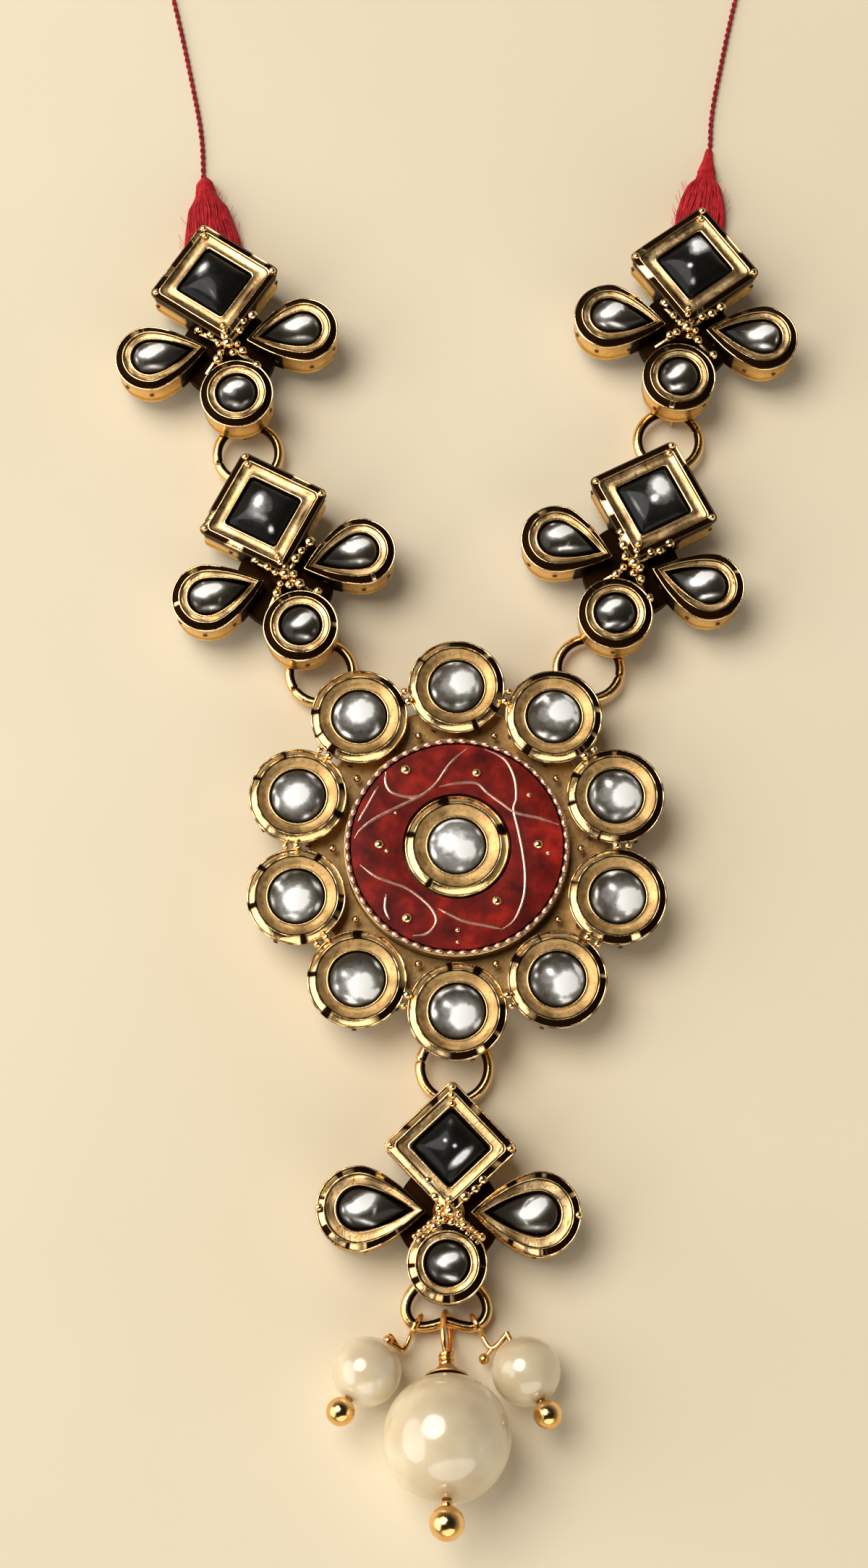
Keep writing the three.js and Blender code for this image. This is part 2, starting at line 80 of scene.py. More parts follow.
OUTER_BEAD, INNER_BEAD = 0.2, 0.16       # widths of the thin wires beside the broad one
LIP = 0.22                               # width of the wire round a stone
ROUND_DOME = dict(height=1.3, power=(2.0, 0.6))
CUSHION = dict(height=1.2, power=(2.4, 0.7))
ROUNDELS = 10
ROUNDEL_RING = 15.3                      # radius of the ring of roundels
RING_WIRE = 0.48                         # radius of the jump rings' wire

# Material slots of the metal pieces.
POLISHED, LAC, COLLAR, WALL = range(4)

# corners: beads along each corner of the square, from the right one round, as mm in from the rim's.
ARM = dict(square=ARM_SQUARE, tear=ARM_TEAR, square_reach=6.6, round_reach=5.35,
           corners=((0,), (-0.1, 0.7), (0,), (0.3, 0.95)))
CROSSES = {
    "upper_left": dict(ARM, x=-22.1, y=50.2, turn=11.6),
    "upper_right": dict(ARM, x=22.3, y=52.0, turn=-8.7),
    "lower_left": dict(ARM, x=-16.2, y=26.4, turn=18.0),
    "lower_right": dict(ARM, x=16.6, y=27.6, turn=-18.6),
    "bottom": dict(x=-0.8, y=-33.1, turn=-1.7, square=BOTTOM_SQUARE, tear=BOTTOM_TEAR, square_reach=5.6,
                   round_reach=4.5, corners=((0,), (0, 0.75, 1.5), (0,), (0, 0.7))),
}
RINGS = {
    "left_ring": dict(x=-20.1, y=40.3, radius=3.0, seam=200),
    "right_ring": dict(x=20.65, y=41.65, radius=3.0, seam=20),
    "left_pendant_ring": dict(x=-12.76, y=17.92, radius=3.0, seam=215),
    "right_pendant_ring": dict(x=12.53, y=18.3, radius=3.0, seam=-15),
    "lower_ring": dict(x=-0.25, y=-19.7, radius=3.1, seam=170),
}
BOW_HALF = [(0, 2.9), (1.9, 2.35), (3.15, 1.15), (3.6, -0.15), (3.2, -1.25), (2.3, -1.72),
            (1.2, -1.6), (0, -1.3)]
BOW = dict(x=-1.0, y=-41.0, radius=BOW_HALF[0][1])
# What runs through the staple of each cross's round setting, of its square one, and of a roundel.
ROUND_STAPLES = {"upper_left": RINGS["left_ring"], "upper_right": RINGS["right_ring"], "bottom": BOW,
                 "lower_left": RINGS["left_pendant_ring"], "lower_right": RINGS["right_pendant_ring"]}
SQUARE_STAPLES = {"lower_left": RINGS["left_ring"], "lower_right": RINGS["right_ring"],
                  "bottom": RINGS["lower_ring"]}
ROUNDEL_STAPLES = {1: RINGS["left_pendant_ring"], 5: RINGS["lower_ring"], 9: RINGS["right_pendant_ring"]}

# Each drop: its pearl, the place that its pin heads for, and the pin's bent wire: its loop as
# (x, y, turn), its bend and its end bead.
SMALL_DROP = dict(radius=3.0, pin=0.25, bore=0.55, ball=1.25, ball_at=4.35)
DROPS = {
    "big": dict(radius=5.5, pin=0.27, bore=0.57, ball=1.5, ball_at=7.6,
                at=(-1.0, -52.4), aim=(-0.98, -42.3)),
    "left": dict(SMALL_DROP, at=(-7.9, -46.65), aim=(-5.15, -42.35), loop=(-3.65, -42.57, 61),
                 bend=(-4.85, -44.7, 1.6), bead=(-6.1, -43.95, 1.95)),
    "right": dict(SMALL_DROP, at=(5.9, -46.65), aim=(3.75, -42.15), loop=(1.65, -42.57, 118),
                  bend=(3.0, -44.6, 1.6), bead=(2.3, -45.5, 1.6)),
}
BIG_EYE = dict(wire=0.255, long=2.0, high=1.2, hook_in=1.08, splay=0.32)
LOOP = dict(wire=0.2484, radius=0.93)
# Silk tufts: place and turn of the end by the top square, then rows of
# (along, half width, height) towards the tip.
TUFTS = {
    "left_tuft": dict(x=-24.1, y=62.7, turn=8, rows=[
        (-2.6, 2.8, 1.2), (0.6, 2.85, 1.4), (2.6, 2.4, 1.9), (4.2, 2.0, 2.2), (5.4, 1.25, 1.9),
        (6.3, 0.95, 1.6), (7.4, 0.75, 1.2), (8.1, 0.3, 0.6)]),
    "right_tuft": dict(x=24.35, y=64.6, turn=-8, rows=[
        (-2.6, 2.5, 1.2), (1.6, 2.55, 1.5), (3.4, 2.2, 1.9), (4.9, 1.7, 1.9), (5.7, 1.0, 1.6),
        (6.7, 0.85, 1.4), (8.2, 0.45, 0.8), (9.5, 0.28, 0.55)]),
}
THREAD_RADIUS = 0.25
THREAD_ROUTE = [(-25.3, 71.0), (-26.2, 79), (-31, 99), (-39.5, 121), (-46, 144), (-43, 168),
                (-26, 187), (0, 194), (26, 187), (43, 168), (46, 144), (39.5, 121), (31, 99),
                (26.6, 81), (25.75, 74.3)]


def add_object(name, data):
    made = bpy.data.objects.new(name, data)
    bpy.context.scene.collection.objects.link(made)
    return made


# ---- camera ----
def add_camera():
    """Above the drops, looking down and a little towards the neck."""
    aim = ORIGIN + Vector((-2.09, 6.2, 4.0)) * MM
    lean = math.radians(16.5)
    distance = 240 * MM
    data = bpy.data.cameras.new("camera")
    data.sensor_width = 36
    data.lens = 59.8
    data.clip_start = 0.01
    camera = add_object("camera", data)
    camera.location = aim + Vector((0, -math.sin(lean), math.cos(lean))) * distance
    camera.rotation_euler = (lean, 0, 0)
    bpy.context.scene.camera = camera


# ---- meshes ----
STILL = Matrix.Identity(4)
ALONG_X = Matrix.Rotation(math.radians(90), 4, "Y")      # carries a turned piece's axis to +X
TURN_45 = np.array([[1, 1], [-1, 1]]) * math.sqrt(0.5)


def moved(points, place):
    matrix = np.array(place)
    return points @ matrix[:3, :3].T + matrix[:3, 3]


def unit(rows):
    return rows / np.linalg.norm(rows, axis=1)[:, None]


def level(flat, z):
    """A flat outline at a height, which may be one for each of its points."""
    return np.column_stack([flat, np.broadcast_to(z, len(flat))])


def upright(flat, x):
    """A flat outline that stands across the x axis."""
    return np.column_stack([np.broadcast_to(x, len(flat)), flat])


def turned(rows, sides):
    """Level circles from rows of (radius, z)."""
    return [level(circle(radius, sides), z) for radius, z in rows]


class Form:
    """Collects closed surfaces in millimetres, with a value at each point for its patina and its painted
    light and shade.
    """

    def __init__(self):
        self.points, self.faces, self.patina, self.looks = [], [], [], []
        self.count = 0

    def add(self, points, faces, patina, place, looks):
        """Takes one value of patina and painted light for each point, and one material slot for each face."""
        self.points.append(moved(points, place))
        self.faces.extend([tuple(i + self.count for i in face) for face in faces])
        self.patina.append(patina)
        self.looks.extend(looks)
        self.count += len(points)

    def join(self, other, place):
        self.add(np.vstack(other.points), other.faces, np.concatenate(other.patina), place, other.looks)

    def loft(self, sections, patina=0.0, place=STILL, closed=False, look=POLISHED):
        """Stacked closed outlines of equal count; open stacks are capped with fans.

        The value of patina and painted light is one value or a list with one for each outline, or for each
        of its points. look is one material slot or a list with one for each outline."""
        sections = np.asarray(sections, dtype=float)
        rows, count = sections.shape[:2]
        values = patina if np.iterable(patina) else [patina] * rows
        shades = np.array([np.broadcast_to(value, count) for value in values], dtype=float)
        looks = look if isinstance(look, list) else [look] * rows
        faces, face_looks = [], []
        for row in range(rows if closed else rows - 1):
            a, b = row * count, (row + 1) % rows * count
            faces += [(a + i, a + (i + 1) % count, b + (i + 1) % count, b + i) for i in range(count)]
            face_looks += [looks[row]] * count
        points, shade = sections.reshape(-1, 3), shades.ravel()
        if not closed:
            points = np.vstack([points, sections[0].mean(axis=0), sections[-1].mean(axis=0)])
            shade = np.append(shade, [shades[0, 0], shades[-1, 0]])
            first, last, top = rows * count, rows * count + 1, (rows - 1) * count
            for i in range(count):
                j = (i + 1) % count
                faces += [(first, j, i), (last, top + i, top + j)]
            face_looks += [looks[-1]] * (2 * count)
        self.add(points, faces, shade, place, face_looks)

    def rise(self, outline, rows, place=STILL, wear=(0.0, 0.0)):
        """Rows of (radius, z, patina and painted light, look) on an outline: a turned profile for any
        outline.

        The value of patina and painted light is one value or one for each point. wear is (middle radius,
        tilts): rows near that radius lean by the tilt of each point."""
        sections = []
        for radius, z, *_ in rows:
            away = radius - wear[0]
            worn = abs(away) < 0.6 and z > RIM_Z - 0.4
            sections.append(level(outline(max(radius, 0.001)), z + away * wear[1] * worn))
        looks = [row[3] if len(row) > 3 else POLISHED for row in rows]
        self.loft(sections, [row[2] for row in rows], place, look=looks)

    def tube(self, path, radius, sides=10, closed=False, patina=0.0, place=STILL, stripe=None):
        """A wire of round section along a path; radius may be one value or one per point.

        stripe is (first, last): the sides that carry a painted dark line, a painted reflection."""
        path = np.asarray(path, dtype=float)
        steps = np.roll(path, -1, axis=0) - np.roll(path, 1, axis=0) if closed else np.gradient(path, axis=0)
        along = unit(steps)
        side = np.cross(along[0], (0.0, 0.0, 1.0))
        if np.linalg.norm(side) < 0.1:
            side = np.cross(along[0], (0.0, 1.0, 0.0))
        carried = []
        for ahead in along:
            side = side - ahead * np.dot(side, ahead)
            side /= np.linalg.norm(side)
            carried.append(side)
        across = np.array(carried)
        if closed:
            across = untwist(across, along)
        up = np.cross(along, across)
        x, y = circle(1.0, sides).T[:, :, None]
        ring = across[:, None] * x - up[:, None] * y
        size = np.broadcast_to(radius, len(path))[:, None, None]
        shade = np.full((len(path), sides), float(patina))
        if stripe:
            shade[:, stripe[0]:stripe[1] + 1] = 0.9
        self.loft(path[:, None] + ring * size, shade, place, closed)

    def ball(self, centre, radius, rings=10, place=STILL, squash=1.0, look=POLISHED):
        angles = np.linspace(-math.pi / 2, math.pi / 2, rings + 1)[1:-1]
        rows = np.column_stack(polar(radius, angles)) * (1, squash)
        self.loft(np.array(turned(rows, 2 * rings)) + np.array(centre), 0.0, place, look=look)

    def make(self, name, materials, node=None, place=STILL, crease=35):
        """The mesh of a piece, with its materials in slots, for the CAD node that it replaces."""
        mesh = bpy.data.meshes.new(name)
        points = moved(np.vstack(self.points), place) * MM + np.array(ORIGIN)
        mesh.from_pydata(points.tolist(), [], self.faces)
        patina = mesh.attributes.new("patina", "FLOAT", "POINT")
        patina.data.foreach_set("value", np.concatenate(self.patina))
        for material in materials:
            mesh.materials.append(material)
        mesh.polygons.foreach_set("material_index", self.looks)
        mesh.polygons.foreach_set("use_smooth", [True] * len(mesh.polygons))
        mesh.validate()
        mesh.set_sharp_from_angle(angle=math.radians(crease))
        piece = add_object(name, mesh)
        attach(piece, "root")
        if node:
            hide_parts(node)


def untwist(across, along):
    """Spreads the leftover turn of a closed path's carried sides along the whole path."""
    first, last, axis = across[0], across[-1], along[0]
    last = last - axis * np.dot(last, axis)
    last /= np.linalg.norm(last)
    turn = math.atan2(np.dot(np.cross(last, first), axis), np.dot(last, first))
    share = np.arange(len(across)) / len(across) * turn
    up = np.cross(along, across)
    return across * np.cos(share)[:, None] + up * np.sin(share)[:, None]


def placed(x, y, turn=0.0, z=0.0):
    return Matrix.Translation((x, y, z)) @ Matrix.Rotation(math.radians(turn), 4, "Z")


def turn_of(place):
    return math.atan2(place[1][0], place[0][0])


def polar(radius, angle):
    return radius * np.cos(angle), radius * np.sin(angle)


def even_angles(count):
    return np.arange(count) * TAU / count


def distance_along(path):
    return np.concatenate([[0], np.cumsum(np.linalg.norm(np.diff(path, axis=0), axis=1))])


def spline(points, steps, closed=False):
    """A smooth path through the points, with about the given number of even steps."""
    points = np.asarray(points, dtype=float)
    ends, mode = ((1, 2), "wrap") if closed else ((1, 1), "edge")
    near = np.pad(points, (ends, (0, 0)), mode)
    t = np.linspace(0, 1, 24, endpoint=False)[:, None]
    spans = [0.5 * (2 * b + (c - a) * t + (2 * a - 5 * b + 4 * c - d) * t ** 2
                    + (3 * b - a - 3 * c + d) * t ** 3)
             for a, b, c, d in zip(near, near[1:], near[2:], near[3:])]
    fine = np.vstack([*spans, points[0 if closed else -1]])
    reach = distance_along(fine)
    stops = np.linspace(0, reach[-1], steps, endpoint=not closed)
    return np.column_stack([np.interp(stops, reach, fine[:, k]) for k in range(fine.shape[1])])


# ---- outlines ----
def circle(radius, sides=96):
    return np.column_stack(polar(radius, even_angles(sides)))


def diamond(radius, rounding=0.14):
    """A square stood on its corner, rounded at the corners."""
    corner = rounding * radius
    rounds = []
    for side in range(4):
        facing = side * math.pi / 2
        bends = facing + np.linspace(-math.pi / 4, math.pi / 4, 9)
        hub = polar((radius - corner) * math.sqrt(2), facing)
        rounds.append(hub + np.column_stack(polar(corner, bends)))
    points = []
    for near, following in zip(rounds, rounds[1:] + rounds[:1]):
        points += [near, np.linspace(near[-1], following[0], 16)[1:-1]]
    return np.vstack(points)


def cushion(radius):
    """Square at an arm's girdle and round towards the middle, stood on its corner."""
    power = 2 + 16 * min(radius / ARM_SQUARE["stone"], 1.0) ** 3
    flat = circle(1.0)
    bulge = (np.abs(flat) ** power).sum(axis=1) ** (1 / power)
    return flat @ TURN_45 * radius / bulge[:, None]


def teardrop(radius, reach):
    """Round end towards +X about the origin, and full sides that meet at x = -reach."""
    arc = np.column_stack(polar(radius, np.linspace(-math.pi / 2, math.pi / 2, 57)))
    share = np.linspace(0, 1, 26)[1:]
    upper = np.column_stack([-reach * share, radius * (1 - share ** TEAR_FULLNESS)])
    return np.vstack([arc, upper, upper[-2::-1] * (1, -1)])


def bezel_teardrop(size):
    pocket = size["stone"] + GAP

    def outline(radius):
        share = (radius - pocket) / (size["bezel"] - pocket)
        return teardrop(radius, size["pocket_reach"] + share * (size["bezel_reach"] - size["pocket_reach"]))
    return outline


def stone_teardrop(size):
    return lambda radius: teardrop(radius, radius * size["pocket_reach"] / (size["stone"] + GAP))


# ---- settings and stones ----
def bead_rows(outer, width, top, start, end, patina, steps=9):
    """Rows over a round wire of the given width, from its outer to its inner side."""
    half = width / 2
    across, up = polar(half, np.radians(np.linspace(start, end, steps)))
    return [(outer - half + x, top - half + z, patina) for x, z in zip(across, up)]


def rim_rows(size, shades):
    """A thin wire, a broad one and a thin one, from the outer to the inner side, each with its painted dark
    reflection.
    """
    outer, band, inner = shades
    fall = size["fall"]
    rows = bead_rows(size["bezel"], OUTER_BEAD, RIM_Z - fall, -50, 125, outer, 7)
    start = size["bezel"] - OUTER_BEAD + 0.03
    for share in np.linspace(0, 1, 8):
        rise = fall * (1.35 * share - 0.35 * share * share)
        rows.append((start - size["band"] * share, RIM_Z - 0.08 - fall + rise, band))
    return rows + bead_rows(start - size["band"] + 0.03, INNER_BEAD, RIM_Z, 60, 170, inner, 6)


def bezel_rows(size, dished, shades, dull):
    """The walled setting: leaning wall, rim, satin collar and the lip round the stone.

    shades are the painted dark reflection on the rim's three wires, and dull the collar's wear and
    painted shade. A dished collar falls towards the stone, and any other is nearly flat."""
    edge, foot = size["bezel"], size["bezel"] - size["foot"]
    collar = edge - OUTER_BEAD - size["band"] - INNER_BEAD + 0.03
    lip = size["stone"] + size["seam"] + LIP - 0.04
    high, low = (RIM_Z - 0.12, RIM_Z - 0.42) if dished else (RIM_Z - 0.16, RIM_Z - 0.22)
    rows = [(foot - 0.5, PLATE_Z, 0.6, WALL), (foot - 0.06, PLATE_Z, 0.5, WALL),
            (foot, PLATE_Z + 0.12, 0.2, WALL), (foot, PLATE_Z + 0.34, 0.1, WALL),
            (foot - 0.06 + 0.1 * size["foot"], PLATE_Z + 0.46, 0.5, WALL),
            (edge - 0.12 - 0.5 * size["foot"], PLATE_Z + 1.5, 0.0, WALL),
            (edge - 0.1, RIM_Z - 0.72, 0.2, WALL)]
    rows += rim_rows(size, shades)
    rows += [(collar + 0.01, high - 0.08, 0.95, COLLAR), (collar - 0.06, high, dull + 0.2, COLLAR)]
    worn = size["worn"]
    # Towards the lip the collar is painted darker: painted shade.
    for share in (0.15, 0.3, 0.45, 0.6, 0.8, 1.0):
        bend = high + (low - high) * math.sin(share * math.pi / 2) - 0.3 * worn * math.sin(share * math.pi)
        shade = dull * (1 + 4 * worn * math.sin(min(share * 1.6, 1.0) * math.pi)) + 0.25 * share ** 2
        rows.append((collar - 0.06 + (lip - collar + 0.06) * share, bend, np.clip(shade, 0, 0.8), COLLAR))
    rows += bead_rows(lip + 0.02, LIP, low + 0.12, 10, 170, size["lip"], 7)
    rows += [(size["stone"] + 0.06, low - 0.2, 1.0), (size["stone"] - 0.1, SEAT_Z, 1.0)]
    return rows


def stone_rows(size, height, power, steps=18):
    """From the girdle up to the crown, on the curve 1 - share ** power."""
    radius, girdle = size["stone"] + 0.04, RIM_Z - 0.62
    rows = [(radius * 0.96, SEAT_Z + 0.1, 1.0), (radius, girdle - 0.05, 1.0)]
    for share in np.linspace(1, 0.02, steps):
        rise = (1 - share ** power[0]) ** power[1]
        rows.append((radius * share, girdle + height * rise, share))
    return rows


def uneven(count, chance, low=7, high=26, amount=0.16):
    """A smooth closed run of small lean angles, as hand finishing leaves on a rim."""
    total = np.zeros(count)
    for cycles in range(low, high):
        total += chance.uniform(-1, 1) * np.cos(cycles * even_angles(count) + chance.uniform(0, TAU))
    return amount * total / np.std(total)


def painted_rim_reflection(flat, turn, mood, chance):
    """Painted dark reflection along a rim, for each point of its outline: dark towards one side with
    bright breaks, and short dark dashes along the rest. Gives that of the outer, broad and inner wires."""
    ahead = np.roll(flat, -1, axis=0) - np.roll(flat, 1, axis=0)
    heading = np.degrees(np.arctan2(-ahead[:, 0], ahead[:, 1])) + turn
    away = np.abs((heading - mood["toward"] + 180) % 360 - 180)
    inside = np.clip((mood["spread"] - away) / 25 + 0.5, 0, 1)
    ripple = uneven(len(flat), chance, *mood["cycles"], 1.0)
    sharp = mood["sharp"]
    breaks = np.clip((mood["breaks"] - ripple) * sharp + 0.5, 0, 1)
    dashes = (1 - inside) * np.clip((ripple - mood["dashes"]) * sharp + 0.5, 0, 1)
    thin = mood["thin"] * np.clip(0.6 + uneven(len(flat), chance, 6, 22, 0.5), 0, 1)
    broad = inside * breaks + dashes
    inner = np.maximum(dashes * mood["depth"], thin)
    return np.maximum(inner, broad * mood["edge"]), broad, inner


def add_bezel(form, outline, size, place, chance, mood, dished=False):
    """A setting, with painted dark reflection on its rim. Its collar is duller in patches of wear, and
    with painted shade on the side that the mood's dull names: (amount, heading in degrees), where no
    heading means towards the hub."""
    flat = outline(size["bezel"])
    turn = math.degrees(turn_of(place)) + mood["turn"]
    shades = painted_rim_reflection(flat, turn, mood, chance)
    dull = 0.14 + uneven(len(flat), chance, 2, 9, mood["patches"])
    if mood["dull"]:
        amount, heading = mood["dull"]
        side = place.inverted() @ Vector((0, 0, 0))
        if heading is not None:
            side = Matrix.Rotation(math.radians(heading - turn), 4, "Z") @ Vector((1, 0, 0))
        facing = flat @ np.array([side.x, side.y]) / side.length / size["bezel"]
        # Painted shade on the named side of the collar.
        dull = dull + amount * np.clip(facing - 0.2, 0, 1)
    dull = np.clip(dull, 0, 0.7)
    form.rise(outline, bezel_rows(size, dished, shades, dull), place,
              wear=(size["bezel"] - 0.45, uneven(len(flat), chance, 3, 10, 0.035)))


def wall_holes(form, outline, size, place, count, phase):
    """Small dark piercings in the side wall, filled with lac."""
    flat = outline(size["bezel"] - 0.13)
    for i in range(count):
        k = int(((i + phase) / count) * len(flat)) % len(flat)
        along = flat[(k + 1) % len(flat)] - flat[k - 1]
        outward = math.degrees(math.atan2(-along[0], along[1]))
        spot = placed(*flat[k], outward, PLATE_Z + 1.3 + 0.3 * (i % 2))
        plug = [upright(circle(radius, 14), x) for x, radius in ((-0.1, 0.22), (0.01, 0.22), (0.035, 0.17))]
        form.loft(plug, 1.0, place @ spot, look=LAC)


def add_stone(name, outline, size, dome, place, material, painted_highlights, base=0.07):
    """A foil-backed stone, its light painted into its colour. Each painted highlight is a painted
    reflection of light off the foil: (x, y, long, short, tilt in degrees, strength), in shares of the stone's
    radius."""
    form = Form()
    form.rise(outline, stone_rows(size, dome["height"], dome["power"]))
    points = np.vstack(form.points)
    share = np.concatenate(form.patina)
    c, s = polar(1 / size["stone"], turn_of(place))
    across, up = points[:, 0] * c - points[:, 1] * s, points[:, 0] * s + points[:, 1] * c
    # Painted light: a dim base, painted darker towards the edge, and the painted highlights on top.
    light = base * (1 - 0.6 * np.clip((share - 0.6) / 0.35, 0, 1))
    for x, y, long, short, tilt, strength in painted_highlights:
        c, s = polar(1.0, math.radians(tilt))
        along, aside = (across - x) * c + (up - y) * s, (up - y) * c - (across - x) * s
        light = light + strength * np.exp(-(along / long) ** 2 - (aside / short) ** 2)
    # The very edge is painted black: painted shade.
    form.patina = [np.clip(light * (1 - np.clip((share - 0.92) / 0.08, 0, 1)), 0, 1)]
    form.make(name, [material], name, place, crease=28)


def add_staple(form, ring, x, y):
    """A staple under the setting at (x, y), which the ring's wire runs through."""
    away = math.atan2(y - ring["y"], x - ring["x"])
    out_x, out_y = polar(ring["radius"], away)
    spot = placed(ring["x"] + out_x, ring["y"] + out_y, math.degrees(away))
    leg, wire = 0.9, 0.21
    half = [(leg, PLATE_Z + 0.4), (leg, 0.62), (leg - 0.14, 0.34), (leg - 0.42, wire)]
    path = [(-x, 0, z) for x, z in half] + [(x, 0, z) for x, z in half[::-1]]
    form.tube(spline(path, 40), wire, 10, patina=0.4, place=spot)
    tongue = diamond(0.9) @ TURN_45 * (1.1, 0.42)
    form.loft([level(tongue, PLATE_Z + 0.02), level(tongue, PLATE_Z + 0.5)], 0.5, spot)


# ---- crosses ----
def cross_settings(cross):
    """Outlines of each bezel and stone, its sizes, place on the cross and the stone's dome."""
    tear = cross["tear"]
    drop = (bezel_teardrop(tear), stone_teardrop(tear), tear)
    return {
        "square": (diamond, cushion, cross["square"], placed(0, cross["square_reach"]), CUSHION),
        "round": (circle, circle, ROUND, placed(0, -cross["round_reach"]), ROUND_DOME),
        "left": (*drop, placed(-tear["offset"], 0, 180), ROUND_DOME),
        "right": (*drop, placed(tear["offset"], 0), ROUND_DOME),
    }


def add_hub(form, shade):
    """The dark plate, and the low hub between the settings with its own darkness."""
    plate, high = 4.6, PLATE_Z + 1.5
    profile = [(plate - 0.2, PLATE_Z), (plate, PLATE_Z + 0.2), (plate, high - 0.2), (plate - 0.3, high),
               (2.0, high)]
    form.rise(circle, [(radius, z, 0.9, WALL) for radius, z in profile])
    form.rise(circle, [(radius, z, shade) for radius, z in ((1.45, 3.0), (1.4, 4.4), (1.1, 4.7), (0.5, 4.8))])


# Beads of the rows between the settings, by distance from the middle: upper right one first,
# then round by way of the upper left.
KNOT_ROWS = ((1.9, 3.0, 4.0), (1.8, 3.2), (1.9,), (1.8, 3.7))


def add_knot(form, chance):
    """A knot of beads in the middle, and a row of beads between each two settings."""
    form.ball((0.1, 0.0, 5.15), 0.6, 12)
    for angle in even_angles(5):
        turn = angle + chance.uniform(-0.2, 0.2)
        x, y = polar(chance.uniform(0.8, 1.0), turn)
        form.ball((x, y - 0.2, 5.0), chance.uniform(0.36, 0.46), 10)
    for i, reaches in enumerate(KNOT_ROWS):
        out = np.array(polar(1.0, math.pi / 4 + i * math.pi / 2 + chance.uniform(-0.12, 0.12)))
        side = np.array([-out[1], out[0]])
        form.tube([(*(out * 0.6), 4.5), (*(out * 2.0), 4.55), (*(out * 3.5), 4.3)], 0.3, 10, patina=0.35)
        for reach in reaches:
            spot = out * (reach + chance.uniform(-0.15, 0.15)) + side * chance.uniform(-0.25, 0.25)
            form.ball((*spot, 5.15 - 0.06 * reach), chance.uniform(0.4, 0.56), 10)


def add_grained_strips(form, chance):
    """Two short bars of gold beside the round setting, each with two rows of grains."""
    for degrees in (-138, -42):
        turn = Matrix.Rotation(math.radians(degrees), 4, "Z")
        flat = circle(1.0, 20) * (0.55, 0.3) + (0, 4.8)
        form.loft([upright(flat, x) for x in (0.4, 2.2, 3.9)], [0.4, 0.3, 0.4], turn)
        for k in range(6):
            for hand in (-1, 1):
                spot = Vector((0.8 + 0.56 * k + chance.uniform(-0.06, 0.06), hand * 0.3, 5.1))
                form.ball(turn @ spot, chance.uniform(0.23, 0.3), 8)


# Painted highlights on each square stone, where its foil throws back light.
SQUARE_PAINTED_HIGHLIGHTS = {
    "upper_left": [(-0.45, 0.4, 0.42, 0.3, 50, 0.38), (-0.42, 0.5, 0.2, 0.12, 50, 0.9),
                   (-0.05, -0.55, 0.32, 0.06, -55, 0.4)],
    "upper_right": [(0.2, 0.75, 0.36, 0.3, 0, 1.3), (0.0, 0.4, 0.2, 0.15, 0, 0.5),
                    (-0.2, -0.15, 0.1, 0.1, 0, 1.2), (-0.1, -0.75, 0.1, 0.14, 0, 0.7)],
    "lower_left": [(-0.1, 0.1, 0.6, 0.5, 30, 0.4), (-0.15, 0.35, 0.16, 0.28, -20, 1.0),
                   (0.3, -0.75, 0.1, 0.12, 0, 1.2), (-0.1, -0.3, 0.35, 0.1, -25, 0.35)],
    "lower_right": [(0.25, 0.2, 0.6, 0.6, 0, 0.4), (0.25, 0.5, 0.3, 0.34, 20, 1.2),
                    (0.0, -0.05, 0.12, 0.12, 0, 1.2), (-0.62, -0.3, 0.6, 0.06, -62, 0.5)],
    "bottom": [(-0.2, 0.2, 0.08, 0.08, 0, 1.1), (0.15, 0.0, 0.08, 0.08, 0, 1.0),
               (0.38, -0.42, 0.46, 0.13, 43, 1.6), (0.0, 0.9, 0.15, 0.2, 0, 0.3)],
}
# How the painted dark reflection lies on a rim. It lies towards a heading and spreads to both sides, in
# degrees.
# breaks, dashes: how seldom its bright breaks and the dark dashes elsewhere come. sharp: how suddenly.
# cycles: how many come round a rim. depth: the inner wire's share of the dashes. edge: the outer
# wire's share of all of it. thin: a light painted darkening of both. dull: painted shade on one
# side of the collar, as (amount, heading). patches: the collar's uneven wear.
MOOD = dict(depth=0.0, edge=0.0, thin=0.0, cycles=(5, 15), sharp=4, dull=None, patches=0.09, turn=0)
ARM_MOOD = dict(MOOD, toward=-60, spread=175, breaks=2.1, dashes=0.2, dull=(0.35, None), patches=0.13)
ARM_ROUND_MOOD = dict(ARM_MOOD, dull=(0.15, -90))
ARM_SQUARE_MOOD = dict(MOOD, toward=0, spread=180, breaks=1.0, dashes=0.2, edge=0.75, dull=(0.1, None),
                       patches=0.12)
ARM_MOODS = dict(square=ARM_SQUARE_MOOD, round=ARM_ROUND_MOOD, left=ARM_MOOD, right=ARM_MOOD)
BOTTOM_MOOD = dict(MOOD, toward=10, spread=95, breaks=1.5, dashes=0.7, depth=0.5, thin=0.5,
                   cycles=(5, 19), sharp=1.8, dull=(0.3, 180), patches=0.15)
ROUNDEL_MOOD = dict(MOOD, breaks=1.5, dashes=1.25, depth=0.9, thin=0.7)
CENTRE_MOOD = dict(MOOD, toward=0, spread=-30, breaks=3.0, dashes=1.2, depth=0.8, thin=0.6)
CORNER_BEAD = 0.36


def painted_edge_glints(chance, count, reach=0.78):
    """Painted glints: short slivers of painted light along a stone's edge."""
    glints = []
    for _ in range(count):
        angle = chance.uniform(0, TAU)
        glints.append((*polar(reach, angle), chance.uniform(0.1, 0.24), 0.06,
                       math.degrees(angle) + 90, chance.uniform(0.3, 0.7)))
    return glints


